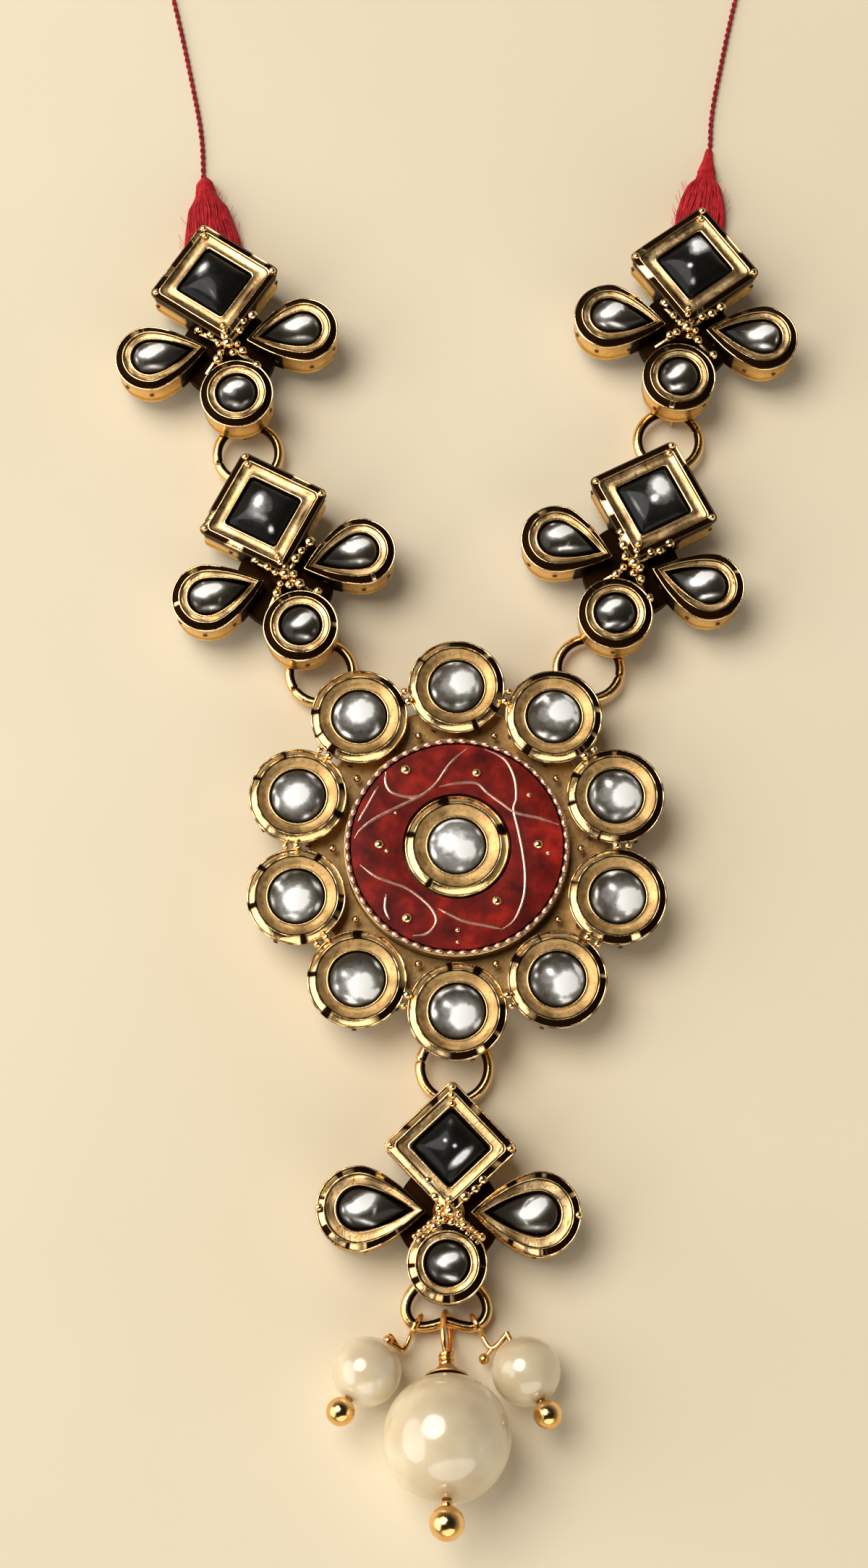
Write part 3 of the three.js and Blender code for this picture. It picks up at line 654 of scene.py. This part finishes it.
def cluster_painted_highlights(piece, chance):
    """Painted highlights: a bright band above the middle with a lobe beside it, a little haze and a low
    crescent.

    On a teardrop they are longer and reach towards the tip."""
    x = chance.uniform(-0.15, 0.2)
    y = 0.25 + chance.uniform(-0.1, 0.12)
    lean = chance.uniform(15, 45)
    size = 1.0 if piece == "round" else 1.5
    x += {"round": 0, "left": 0.3, "right": -0.2}[piece]
    return [(x, y, 0.42 * size, 0.2 * size, lean, chance.uniform(1.5, 1.9)),
            (x - 0.35 * size, y - 0.3, 0.3 * size, 0.14 * size, lean - 40, 0.7),
            (x + 0.05, y - 0.1, 0.6 * size, 0.45 * size, 0, 0.14), *painted_edge_glints(chance, 4),
            (x + chance.uniform(-0.2, 0.2), -0.7, 0.4 * size, 0.1, chance.uniform(-15, 15),
             chance.uniform(0.6, 1.0))]


def add_cross(name, cross, metals, stone, dark_stone, chance):
    place = placed(cross["x"], cross["y"], cross["turn"])
    form = Form()
    arm = name != "bottom"
    add_hub(form, 1.0 if arm else 0.5)
    for piece, (outline, inner, size, spot, dome) in cross_settings(cross).items():
        mood = ARM_MOODS[piece] if arm else BOTTOM_MOOD
        add_bezel(form, outline, size, spot, chance, dict(mood, turn=cross["turn"]))
        wall_holes(form, outline, size, spot, 7 if piece != "round" else 4, chance.random())
        # Each stone's painted highlights and its base light.
        material, slot, painted_highlights, base = dark_stone, "dark_stone", SQUARE_PAINTED_HIGHLIGHTS[name], 0.06
        if piece != "square":
            material, slot, painted_highlights, base = stone, "stone", cluster_painted_highlights(piece, chance), 0.03
        add_stone(f"{name}_{piece}_stone", inner, size, dome, place @ spot, material, painted_highlights, base)
    if arm:
        blacken_middle(form, cross)
    else:
        add_grained_strips(form, chance)
    add_knot(form, chance)
    add_corner_beads(form, cross)
    if not arm:
        for tip in (-11.35, 11.35):
            form.ball((tip, 0.0, RIM_Z - 0.3), CORNER_BEAD)
    staples = Form()
    add_staple(staples, ROUND_STAPLES[name], *arm_point(cross, -cross["round_reach"]))
    if name in SQUARE_STAPLES:
        add_staple(staples, SQUARE_STAPLES[name], *arm_point(cross, cross["square_reach"]))
    form.join(staples, place.inverted())
    form.make(f"{name}_cross_metal", metals, f"{name}_cross", place)


def add_corner_beads(form, cross):
    corner_reach = (cross["square"]["bezel"] - 0.55) * math.sqrt(2)
    for corner, insets in enumerate(cross["corners"]):
        for inset in insets:
            x, y = polar(corner_reach - inset, corner * math.pi / 2)
            form.ball((x, cross["square_reach"] + y, RIM_Z - 0.1), CORNER_BEAD)


def blacken_middle(form, cross):
    """Darkens the low parts near the hub and between the settings."""
    reach = cross["square_reach"]
    for i, points in enumerate(form.points):
        x, y = np.abs(points[:, 0]), points[:, 1]
        low = points[:, 2] < RIM_Z - 0.42
        near = np.hypot(x, y) < 5.4
        outside = x + np.abs(y - reach) > 1.38 * cross["square"]["bezel"]
        under = outside & (y < reach - 0.4) & (y > 0.5) & (x < 6.6)
        form.patina[i] = np.where(low & (near | under), np.maximum(form.patina[i], 0.93), form.patina[i])


def arm_point(cross, reach):
    """The point that far up a cross's own y axis."""
    x, y = polar(reach, math.radians(cross["turn"] + 90))
    return cross["x"] + x, cross["y"] + y


# ---- pendant ----
def roundel_angle(i):
    return math.pi / 2 + TAU * i / ROUNDELS


def grain_ring(form, radius, z, count, length, width):
    """A ring of small oval grains, each lying along the circle."""
    for angle in even_angles(count):
        spot = placed(*polar(radius, angle), math.degrees(angle), z)
        form.ball((0, 0, 0), 1.0, 8, place=spot @ Matrix.Diagonal((width, length, width, 1)))


def roundel_painted_highlights(i, chance):
    """The painted highlight lies lower and further right from the top roundel round to the right ones."""
    x, y = polar(1.0, roundel_angle(i))
    x = 0.2 + 0.2 * x + chance.uniform(-0.06, 0.06)
    y = -0.1 + 0.22 * y + chance.uniform(-0.06, 0.06)
    painted_highlights = [(x, y, 0.4, 0.34, 40, 1.4), (x * 0.6, y * 0.6, 0.82, 0.76, 0, 0.4),
             *painted_edge_glints(chance, 5), *painted_edge_glints(chance, 9, 0.88)]
    if i >= 3:
        painted_highlights.append((x - 0.62, y + 0.45, 0.13, 0.17, 30, chance.uniform(0.5, 0.9)))
    return painted_highlights


def roundel_mood(i):
    # The painted dark reflection turns with the roundel's place, and spreads wider on the right-hand
    # roundels.
    x, y = polar(1.0, roundel_angle(i))
    return dict(ROUNDEL_MOOD, toward=45 * y, spread=60 + 50 * x)


def add_pendant(metals, stone, chance):
    form = Form()
    plate, high = 13.8, PLATE_Z + 1.2
    # The plate is painted darker: painted shade, as it lies low between the roundels and the enamel.
    form.rise(circle, [(plate - 0.3, PLATE_Z, 0.3), (plate, PLATE_Z + 0.15, 0.3, WALL),
                       (plate, high - 0.2, 0.5, COLLAR), (plate - 0.2, high, 0.5, COLLAR),
                       (10.5, high, 0.6, COLLAR)])
    add_bezel(form, circle, CENTRE, STILL, chance, CENTRE_MOOD, dished=True)
    # Painted highlights and glints on the centre stone.
    add_stone("pendant_centre_stone", circle, CENTRE, ROUND_DOME, STILL, stone,
              [(0.3, -0.22, 0.32, 0.32, 0, 0.7), (-0.32, 0.1, 0.3, 0.3, 0, 0.6), (0, 0, 1.3, 1.3, 0, 0.5),
               *painted_edge_glints(chance, 12, 0.88)])
    collet = [(10.3, PLATE_Z + 1.0), (10.28, 5.0), (10.15, 5.08), (9.8, 5.05), (9.75, PLATE_Z + 1.0)]
    form.loft(turned(collet, 128), [0.7, 0.35, 0.6, 0.8, 0.9], closed=True)
    for i in range(ROUNDELS):
        x, y = polar(ROUNDEL_RING, roundel_angle(i))
        place = placed(x, y)
        add_bezel(form, circle, ROUNDEL, place, chance, roundel_mood(i), dished=True)
        wall_holes(form, circle, ROUNDEL, place, 6, i * 0.37)
        add_stone(f"roundel_stone_{i + 1}", circle, ROUNDEL, ROUND_DOME, place, stone,
                  roundel_painted_highlights(i, chance))
        for reach, z, size in ((14.55, 5.15, 0.42), (15.6, 5.1, 0.34), (11.35, 4.2, 0.34)):
            form.ball((*polar(reach, roundel_angle(i + 0.5)), z), size)
        if i in ROUNDEL_STAPLES:
            add_staple(form, ROUNDEL_STAPLES[i], x, y)
    form.make("pendant_metal", metals, "pendant_frame")


ENAMEL_INNER, ENAMEL_OUTER = 4.95, 9.65
# Gold wires on the enamel, and grains as (x, y, radius), mm from the middle.
FILIGREE = [
    [(0.97, 9.26), (-0.6, 7.8), (-1.9, 5.9), (-3.2, 4.8), (-5.3, 3.7), (-7.4, 2.6), (-8.8, 1.5), (-9.3, 0.7)],
    [(-6.5, 7.0), (-6.5, 5.9), (-5.9, 5.0), (-4.3, 4.6), (-3.0, 4.8)],
    [(2.6, 9.2), (4.4, 8.2), (5.3, 6.4), (5.45, 4.5), (5.2, 3.4), (5.6, 1.5), (6.0, -0.7), (6.2, -2.9),
     (6.0, -5.0), (5.2, -6.9), (4.1, -7.8)],
    [(-1.6, 5.6), (0, 5.9), (1.8, 5.9), (2.8, 5.0), (4.1, 4.0), (5.4, 3.1), (7.5, 2.6), (9.3, 2.0)],
    [(-8.8, -1.8), (-7.4, -2.9), (-5.9, -3.5), (-4.6, -4.0), (-3.2, -5.0), (-2.2, -6.1), (-1.9, -7.2),
     (-2.7, -8.2), (-4.0, -8.4)],
    [(-1.7, -5.9), (-0.6, -6.5), (0.7, -7.1), (2.6, -7.5), (4.1, -7.8)],
    [(-6.4, -4.6), (-6.5, -5.9), (-6.1, -6.9)],
    [(-7.2, 5.6), (-8.2, 3.7), (-9.0, 2.3)],
]
GRAINS = [(-4.7, 7.2, 0.45), (1.8, 6.9, 0.4), (6.6, 4.8, 0.22), (7.4, 0.1, 0.42), (8.3, -0.7, 0.2),
          (-7.1, 0.1, 0.42), (-6.4, -0.5, 0.2), (3.6, -5.2, 0.42), (-4.55, -6.8, 0.45), (0.05, -7.9, 0.22),
          (0.05, -9.0, 0.18), (-5.6, 3.1, 0.15)]


def enamel_height(x, y):
    share = (math.hypot(x, y) - ENAMEL_INNER) / (ENAMEL_OUTER - ENAMEL_INNER)
    return ENAMEL_Z + 0.05 * math.sin(math.pi * min(max(share, 0), 1))


def add_enamel(enamel, rosy_gold, gold):
    form = Form()
    inner, outer, foot = ENAMEL_INNER + 0.02, ENAMEL_OUTER + 0.01, 3.1
    rows = [(inner, foot), (outer + 0.02, foot), (outer + 0.02, ENAMEL_Z - 0.12)]
    rows += [(reach, enamel_height(reach, 0)) for reach in np.linspace(outer, inner, 13)]
    form.loft(turned(rows, 128), closed=True)
    form.make("enamel_glaze", [enamel], "enamel_disc")
    wires = Form()
    for line in FILIGREE:
        path = [(x, y, enamel_height(x, y) + 0.03) for x, y in spline(line, 12 * len(line))]
        taper = 0.16 * np.clip(np.sin(np.linspace(0.12, math.pi - 0.12, len(path))) * 2.2, 0.5, 1.0)
        wires.tube(path, taper, 8)
    plain = 1                            # the slot of the plain gold, after the rosy one
    for x, y, size in GRAINS:
        wires.ball((x, y, enamel_height(x, y) + 0.05), size * 1.1, squash=0.8, look=plain)
    grain_ring(wires, 10.0, 5.14, 58, 0.42, 0.25)
    wires.make("enamel_filigree", [rosy_gold, gold])


# ---- rings and drops ----
def add_rings(gold):
    gap = 0.012                          # half the seam of a ring, in radians
    for name, ring in RINGS.items():
        form = Form()
        seam = math.radians(ring["seam"])
        path = [(*polar(ring["radius"], a), 0) for a in np.linspace(seam + gap, seam + TAU - gap, 97)]
        radius = np.full(len(path), RING_WIRE)
        radius[[0, -1]] *= 0.8
        # The stripe is a painted dark reflection along the inner side of the wire.
        form.tube(path, radius, 16, patina=0.05, stripe=(5, 7))
        form.make(f"{name}_wire", [gold], name, placed(ring["x"], ring["y"], 0, RING_Z))
    left = [(-x, y) for x, y in BOW_HALF[-2:0:-1]]
    route = [(x, y, 0) for x, y in BOW_HALF + left]
    form = Form()
    # The same painted dark reflection along the link's inner side.
    form.tube(spline(route, 120, closed=True), RING_WIRE, 16, closed=True, patina=0.05, stripe=(1, 3))
    form.make("bow_link_wire", [gold], "bow_link", placed(BOW["x"], BOW["y"], 0, RING_Z))


def drop_place(drop):
    """+X of a drop's own frame runs from the middle of the pearl to where its pin heads."""
    x, y = np.subtract(drop["aim"], drop["at"])
    run, fall = math.hypot(x, y), drop["radius"] - RING_Z
    place = placed(*drop["at"], math.degrees(math.atan2(y, x)), drop["radius"])
    return place @ Matrix.Rotation(math.atan2(fall, run), 4, "Y"), math.hypot(run, fall)


def hoop(middle, across, up, steps):
    """A closed path round a middle, by way of that plus across and that plus up."""
    x, y = circle(1.0, steps).T[:, :, None]
    return np.array(middle) + np.array(across) * x + np.array(up) * y


def add_big_eye(metal, drop, reach):
    """An oval eye round the link, with its two strands side by side, and coils at its root."""
    long, splay, high = BIG_EYE["long"], BIG_EYE["splay"], BIG_EYE["high"]
    eye = reach - BIG_EYE["hook_in"]
    near = eye - long
    metal.tube([(-drop["ball_at"], 0, 0), (0, 0, 0), (near + 0.05, 0, 0)], drop["pin"], 14, patina=0.3)
    oval = hoop((eye, 0, 0), (long, 0, 0), (0, splay, high), 72)
    metal.tube(oval, BIG_EYE["wire"], 12, closed=True)
    start, wind, turns = 6.75, 0.5, 2.5
    share = np.linspace(0, 1, 50)
    coil = upright(np.column_stack(polar(wind, TAU * turns * share)), start + (near - start) * share)
    metal.tube(coil, 0.22, 9, patina=0.1)
    metal.ball((-5.98, 0, 0), 0.5, 12)


def add_bent_wire(metal, drop, place):
    """The pin leaves the pearl, bends back to a loop round the link, and its end has a bead."""
    exit_at = drop["radius"] + 4 * drop["pin"]
    metal.tube([(-drop["ball_at"], 0, 0), (0, 0, 0), (exit_at, 0, 0)], drop["pin"], 12, patina=0.3)
    x, y, turn = drop["loop"]
    along = (*polar(LOOP["radius"], math.radians(turn)), 0)
    loop = hoop((x, y, RING_Z), along, (0, 0, LOOP["radius"]), 48)
    outlet = place @ Vector((exit_at - 0.12, 0, 0))
    wires = Form()
    wires.tube(loop, LOOP["wire"], 10, closed=True, patina=0.1)
    wires.tube(spline([outlet, drop["bend"], loop[24]], 40), drop["pin"], 12, patina=0.1)
    wires.tube([drop["bend"], drop["bead"]], drop["pin"] * 0.9, 12, patina=0.1)
    wires.ball(drop["bead"], 0.5, 14)
    metal.join(wires, place.inverted())


def add_cap(metals, place):
    cap = Form()
    rows = [(0.6, 5.95), (1.2, 5.75), (1.86, 5.45), (1.93, 5.46), (1.95, 5.56), (1.9, 5.66), (1.6, 5.82),
            (1.2, 6.1), (0.95, 6.4), (0.8, 6.58), (0.62, 6.62)]
    # The cap is painted dark underneath, at its lower edge and round its top hole: painted shade.
    shades = [1, 1, 0.6, 0, 0, 0.05, 0.1, 0.2, 0.1, 0.05, 0.6]
    cap.loft(turned(rows, 64), shades, ALONG_X, closed=True, look=COLLAR)
    cap.make("bead_cap_metal", metals, "bead_cap", place)


def add_drop(name, drop, metals, pearl):
    place, reach = drop_place(drop)
    radius, bore = drop["radius"], drop["bore"] * 0.8
    form = Form()
    edge = math.acos(bore / radius)
    rows = [polar(radius, a) for a in np.linspace(-edge, edge, 60)]
    rows += [(bore * 0.9, rows[-1][1] - 0.3), (bore * 0.9, rows[0][1] + 0.3)]
    # The bore's inside is painted dark: painted shade in the hole.
    form.loft(turned(rows, 96), [0] * 60 + [1, 1], ALONG_X, closed=True)
    form.make(f"{name}_pearl_body", [pearl], f"{name}_pearl", place)

    metal = Form()
    metal.ball((-drop["ball_at"], 0, 0), drop["ball"], 24)
    if name == "big":
        add_big_eye(metal, drop, reach)
        add_cap(metals, place)
    else:
        add_bent_wire(metal, drop, place)
    metal.make(f"{name}_pin_metal", metals, f"{name}_pearl_pin", place)


# ---- silk ----
def add_tuft(name, tuft, silk, chance):
    """A bundle of silk strands gathered to a point, with binding turns where it narrows."""
    rows = np.array(tuft["rows"])
    foot, neck, tip = rows[[0, -3, -1], 0]

    def size_at(along):
        return np.interp(along, rows[:, 0], rows[:, 1]), np.interp(along, rows[:, 0], rows[:, 2])
    alongs = np.linspace(foot, tip, 26)
    half_width, height = size_at(alongs)
    form = Form()
    x, y = circle(1.0, 28).T
    # The core under the strands is painted darker: painted shade.
    form.loft([np.column_stack([x * w * 0.86, np.full(28, a), h / 2 - y * h * 0.40])
               for a, w, h in zip(alongs, half_width, height)], 0.8)
    strands, turns, loose = 150, 9, 14
    for i in range(strands):
        angle = TAU * i / strands + chance.uniform(-0.05, 0.05)
        depth = chance.uniform(0.86, 0.99)
        sway = chance.uniform(-0.25, 0.25)
        wave = chance.uniform(0, TAU)
        spin = angle + sway * (alongs - foot) / 8 + 0.05 * np.sin(alongs * 1.7 + wave)
        path = np.column_stack([np.cos(spin) * (half_width * depth - 0.05), alongs,
                                height / 2 + np.sin(spin) * (height / 2 * depth - 0.06)])
        form.tube(path, chance.uniform(0.06, 0.1), 5, patina=chance.uniform(0, 0.6))
    x, y = circle(1.0, 24).T
    for a in neck + (tip - neck) * 0.9 * np.linspace(0, 1, turns):
        w, h = size_at(a)
        path = np.column_stack([x * (w + 0.02), a + 0.06 * x, h / 2 + y * (h / 2 - 0.05)])
        form.tube(path, 0.075, 6, closed=True, patina=0.2)
    for _ in range(loose):
        start = chance.uniform(-0.5, neck)
        w = size_at(start)[0] * chance.choice((-1, 1))
        out = chance.uniform(0.15, 0.5) * (1 if w > 0 else -1)
        end = start + chance.uniform(0.7, 1.3)
        path = [(w * 0.95, start, 0.7), (w + out * 0.5, start + 0.4, 0.8), (w + out, end, 0.6)]
        form.tube(spline(path, 8), 0.02, 4)
    form.make(f"{name}_silk", [silk], name, placed(tuft["x"], tuft["y"], tuft["turn"]), crease=80)


def add_neck_thread(silk):
    """Two plies twisted round each other along the route."""
    middle = spline([(x, y, THREAD_RADIUS) for x, y in THREAD_ROUTE], 2600)
    along = unit(np.gradient(middle, axis=0))
    side = np.column_stack([along[:, 1], -along[:, 0], np.zeros(len(along))])
    up = np.array([0.0, 0.0, 1.0])
    pitch, ply = 1.5, THREAD_RADIUS * 0.52
    form = Form()
    for phase in (0, math.pi):
        twist = (TAU * distance_along(middle) / pitch + phase)[:, None]
        offset = (side * np.cos(twist) + up * np.sin(twist)) * (THREAD_RADIUS - ply)
        form.tube(middle + offset, ply, 6, patina=0.1)
    form.make("neck_thread_silk", [silk], "neck_thread", crease=80)


# ---- materials ----
def new_material(name):
    material = bpy.data.materials.new(name)
    material.use_nodes = True
    tree = material.node_tree
    return material, tree, tree.nodes["Principled BSDF"]


def feed(tree, node, inputs):
    """Sets a constant on each named input, or links a socket to it."""
    for name, value in inputs.items():
        if isinstance(value, bpy.types.NodeSocket):
            tree.links.new(value, node.inputs[name])
        else:
            node.inputs[name].default_value = value


def add_node(tree, kind, output, inputs, **settings):
    node = tree.nodes.new("ShaderNode" + kind)
    for name, value in settings.items():
        setattr(node, name, value)
    feed(tree, node, inputs)
    return node.outputs[output]


def noise(tree, scale, detail=4.0, rough=0.55):
    place = add_node(tree, "TexCoord", "Object", {})
    return add_node(tree, "TexNoise", "Fac",
                    {"Vector": place, "Scale": scale, "Detail": detail, "Roughness": rough})


def patina_of(tree):
    return add_node(tree, "Attribute", "Fac", {}, attribute_name="patina")


def ramp(tree, source, stops):
    node = tree.nodes.new("ShaderNodeValToRGB")
    band = node.color_ramp
    while len(band.elements) < len(stops):
        band.elements.new(0.5)
    for element, (at, colour) in zip(band.elements, stops):
        element.position = at
        element.color = (*colour, 1.0)
    feed(tree, node, {"Fac": source})
    return node.outputs["Color"]


def mix(tree, share, first, second):
    """A socket's colour, mixed with a constant one. The mix node's inputs 0, 6 and 7 and its output 2
    are those of its colour mode."""
    return add_node(tree, "Mix", 2, {0: share, 6: first, 7: (*second, 1)}, data_type="RGBA")


def remap(tree, source, low, high, to_low, to_high):
    return add_node(tree, "MapRange", "Result", {"Value": source, "From Min": low, "From Max": high,
                                                 "To Min": to_low, "To Max": to_high})


def combine(tree, operation, first, second):
    return add_node(tree, "Math", "Value", {0: first, 1: second}, operation=operation)


def bump(tree, source, strength, distance, under=None):
    """The surface's normal, on top of the one under it."""
    inputs = {"Height": source, "Strength": strength, "Distance": distance}
    if under:
        inputs["Normal"] = under
    return add_node(tree, "Bump", "Normal", inputs)


def faded(colour, share):
    return tuple(c * share for c in colour)


def mottled(tree, scale, detail, first, second):
    return ramp(tree, noise(tree, scale, detail), [(0.3, first), (0.7, second)])


def gold_material(name, bright, deep, dark, smooth, rough, pits=0.4):
    """Gilt metal: smooth and rough are the least and most roughness, pits the strength of its
    fine dark spots. Its value of patina and painted light darkens it towards dark: patina in
    grooves, painted shade and painted dark reflections."""
    material, tree, shader = new_material(name)
    tone = mottled(tree, 900, 5, deep, bright)
    spots = remap(tree, noise(tree, 2300, 6, 0.7), 0.55, 0.72, 0.0, pits)
    worn = mix(tree, spots, tone, faded(deep, 0.35))
    # Darkening by patina, painted shade and painted dark reflections.
    edge = remap(tree, patina_of(tree), 0.15, 0.8, 0.0, 1.0)
    gloss = remap(tree, noise(tree, 1800, 4), 0.3, 0.7, smooth, rough)
    matt = remap(tree, edge, 0.0, 1.0, 0.0, 0.6)
    coarse = bump(tree, noise(tree, 900, 3), 0.15, 0.0001)
    feed(tree, shader, {
        "Base Color": mix(tree, edge, worn, dark),
        "Metallic": 1.0,
        "Roughness": combine(tree, "MAXIMUM", gloss, matt),
        "Normal": bump(tree, noise(tree, 3600, 5, 0.65), 0.25 + rough, 0.00003, coarse)})
    return material


def plain_material(name, colour, roughness):
    material, tree, shader = new_material(name)
    tone = mottled(tree, 2500, 4, faded(colour, 0.5), colour)
    feed(tree, shader, {"Base Color": tone, "Roughness": roughness})
    return material


def stone_material(name, stops, coat):
    """Glass over crumpled foil, with painted light: each point's value says how much light the foil throws
    back, painted into the colour.
    """
    material, tree, shader = new_material(name)
    crumple = remap(tree, noise(tree, 1500, 4, 0.55), 0.3, 0.7, 0.8, 1.2)
    light = combine(tree, "MULTIPLY", patina_of(tree), crumple)
    feed(tree, shader, {
        "Base Color": ramp(tree, light, stops),
        "Specular IOR Level": 0.1,
        "Roughness": remap(tree, noise(tree, 2200, 3), 0.3, 0.7, 0.22, 0.4),
        "Coat Weight": coat,
        "Coat Roughness": 0.05,
        "Normal": bump(tree, noise(tree, 700, 2), 0.25, 0.0001)})
    return material


def pearl_material():
    material, tree, shader = new_material("pearl_lustre")
    tone = ramp(tree, noise(tree, 150, 2), [(0.35, (0.62, 0.49, 0.30)), (0.5, (0.74, 0.63, 0.43)),
                                            (0.66, (0.84, 0.78, 0.62))])
    fine = mix(tree, remap(tree, noise(tree, 2600, 5), 0.3, 0.7, 0.0, 0.15), tone, (0.62, 0.54, 0.38))
    feed(tree, shader, {
        # Painted shade darkens the bore.
        "Base Color": mix(tree, patina_of(tree), fine, (0.2, 0.13, 0.07)),
        "Roughness": 0.4,
        "Subsurface Weight": 0.7,
        "Subsurface Radius": (1.0, 0.8, 0.6),
        "Subsurface Scale": 0.003,
        "Coat Weight": 1.0,
        "Coat Roughness": 0.14,
        "Coat IOR": 1.88,
        "Normal": bump(tree, noise(tree, 900, 3), 0.06, 0.00006)})
    return material


def enamel_material():
    material, tree, shader = new_material("red_enamel")
    tone = ramp(tree, noise(tree, 420, 5), [(0.32, (0.06, 0.0015, 0.0007)), (0.52, (0.165, 0.006, 0.0025)),
                                            (0.7, (0.38, 0.018, 0.008))])
    feed(tree, shader, {"Base Color": tone, "Roughness": 0.4, "Specular IOR Level": 0.1,
                        "Normal": bump(tree, noise(tree, 600, 3), 0.3, 0.0001)})
    return material


def silk_material(name, deep, bright):
    material, tree, shader = new_material(name)
    tone = mottled(tree, 1500, 5, deep, bright)
    feed(tree, shader, {
        # Darker by the value: the strands' random tone, and painted shade on the core.
        "Base Color": mix(tree, patina_of(tree), tone, faded(deep, 0.45)),
        "Roughness": 0.6,
        "Specular IOR Level": 0.25,
        "Normal": bump(tree, noise(tree, 5000, 3), 0.4, 0.00003)})
    return material


# ---- studio ----
def add_floor():
    size = 1.5
    mesh = bpy.data.meshes.new("table_top")
    corners = [(-size, -size, 0), (size, -size, 0), (size, size, 0), (-size, size, 0)]
    mesh.from_pydata(corners, [], [(0, 1, 2, 3)])
    material, tree, shader = new_material("table_top")
    tone = mottled(tree, 14, 3, (0.80, 0.69, 0.49), (0.84, 0.74, 0.55))
    feed(tree, shader, {"Base Color": tone, "Roughness": 0.85})
    mesh.materials.append(material)
    floor = add_object("table_top", mesh)


def add_light(name, place, size, watts, colour=(1, 1, 1)):
    """A soft panel that faces the middle of the pendant."""
    data = bpy.data.lights.new(name, "AREA")
    data.shape = "ELLIPSE"
    data.size, data.size_y = size
    data.energy = watts
    data.color = colour
    light = add_object(name, data)
    light.location = ORIGIN + Vector(place)
    light.rotation_euler = (-Vector(place)).to_track_quat("-Z", "Y").to_euler()


def add_lights():
    """A round key from the upper left, and low panels from the left and the front."""
    add_light("key", (-0.32, 0.20, 0.70), (0.6, 0.6), 5.1, (1.0, 0.97, 0.92))
    add_light("left_panel", (-0.72, -0.1, 0.36), (1.05, 0.7), 3.5)
    add_light("front_panel", (0.12, -0.74, 0.4), (1.2, 0.6), 2.7, (1.0, 0.96, 0.9))
    world = bpy.data.worlds.new("studio")
    bpy.context.scene.world = world
    world.use_nodes = True
    tree = world.node_tree
    place = add_node(tree, "TexCoord", "Generated", {})
    height = add_node(tree, "SeparateXYZ", "Z", {0: place})
    shade = ramp(tree, height, [(0.0, (0.52, 0.47, 0.39)), (0.35, (0.22, 0.21, 0.18)),
                                (0.7, (0.02, 0.02, 0.02))])
    feed(tree, tree.nodes["Background"], {"Color": shade})
    bpy.context.scene.view_settings.view_transform = "Standard"


# ---- the necklace ----
def main():
    add_camera()
    chance = random.Random(7)
    # The dark of lac, also the colour of the painted shade and dark reflections on the gold.
    lac_and_painted_dark_tone = (0.016, 0.006, 0.002)
    brown = (0.05, 0.018, 0.004)
    gold = gold_material("gold", (1.0, 0.75, 0.40), (0.92, 0.57, 0.23), lac_and_painted_dark_tone, 0.08, 0.18)
    collar = gold_material("collar_gold", (0.88, 0.58, 0.25), (0.58, 0.34, 0.12), brown, 0.42, 0.6, 0.8)
    cream = gold_material("cream_gold", (1.0, 0.73, 0.39), (0.66, 0.39, 0.14), brown, 0.26, 0.45, 0.95)
    wall = gold_material("wall_gold", (1.0, 0.63, 0.18), (0.84, 0.45, 0.10), lac_and_painted_dark_tone, 0.22, 0.38)
    rosy_gold = gold_material("rosy_gold", (1.0, 0.66, 0.50), (1.0, 0.50, 0.36), (0.2, 0.05, 0.03), 0.3, 0.4,
                              0.1)
    wire_gold = gold_material("wire_gold", (1.0, 0.68, 0.30), (0.86, 0.46, 0.14), lac_and_painted_dark_tone, 0.08, 0.2)
    dark_fill = plain_material("dark_lac", (0.10, 0.03, 0.01), 0.6)
    metals = [gold, dark_fill, collar, wall]
    cross_metals = [gold, dark_fill, cream, wall]
    drop_metals = [wire_gold, dark_fill, collar, wall]
    stone = stone_material("silver_stone", [(0.0, (0.005, 0.004, 0.003)), (0.2, (0.06, 0.05, 0.036)),
                                            (0.5, (0.27, 0.26, 0.24)), (0.8, (0.97, 0.97, 0.95))], 0.3)
    dark_stone = stone_material("dark_stone", [(0.0, (0.003, 0.003, 0.002)), (0.25, (0.018, 0.017, 0.015)),
                                               (0.6, (0.30, 0.30, 0.29)), (0.9, (0.95, 0.95, 0.94))], 0.15)
    silk = silk_material("red_silk", (0.38, 0.008, 0.013), (0.80, 0.024, 0.034))
    dark_silk = silk_material("dark_red_silk", (0.20, 0.006, 0.009), (0.42, 0.016, 0.022))
    for name, cross in CROSSES.items():
        add_cross(name, cross, cross_metals, stone, dark_stone, chance)
    add_pendant(metals, stone, chance)
    add_enamel(enamel_material(), rosy_gold, gold)
    add_rings(wire_gold)
    pearl = pearl_material()
    for name, drop in DROPS.items():
        add_drop(name, drop, drop_metals, pearl)
    for name, tuft in TUFTS.items():
        add_tuft(name, tuft, silk, chance)
    add_neck_thread(dark_silk)
    add_floor()
    add_lights()


main()
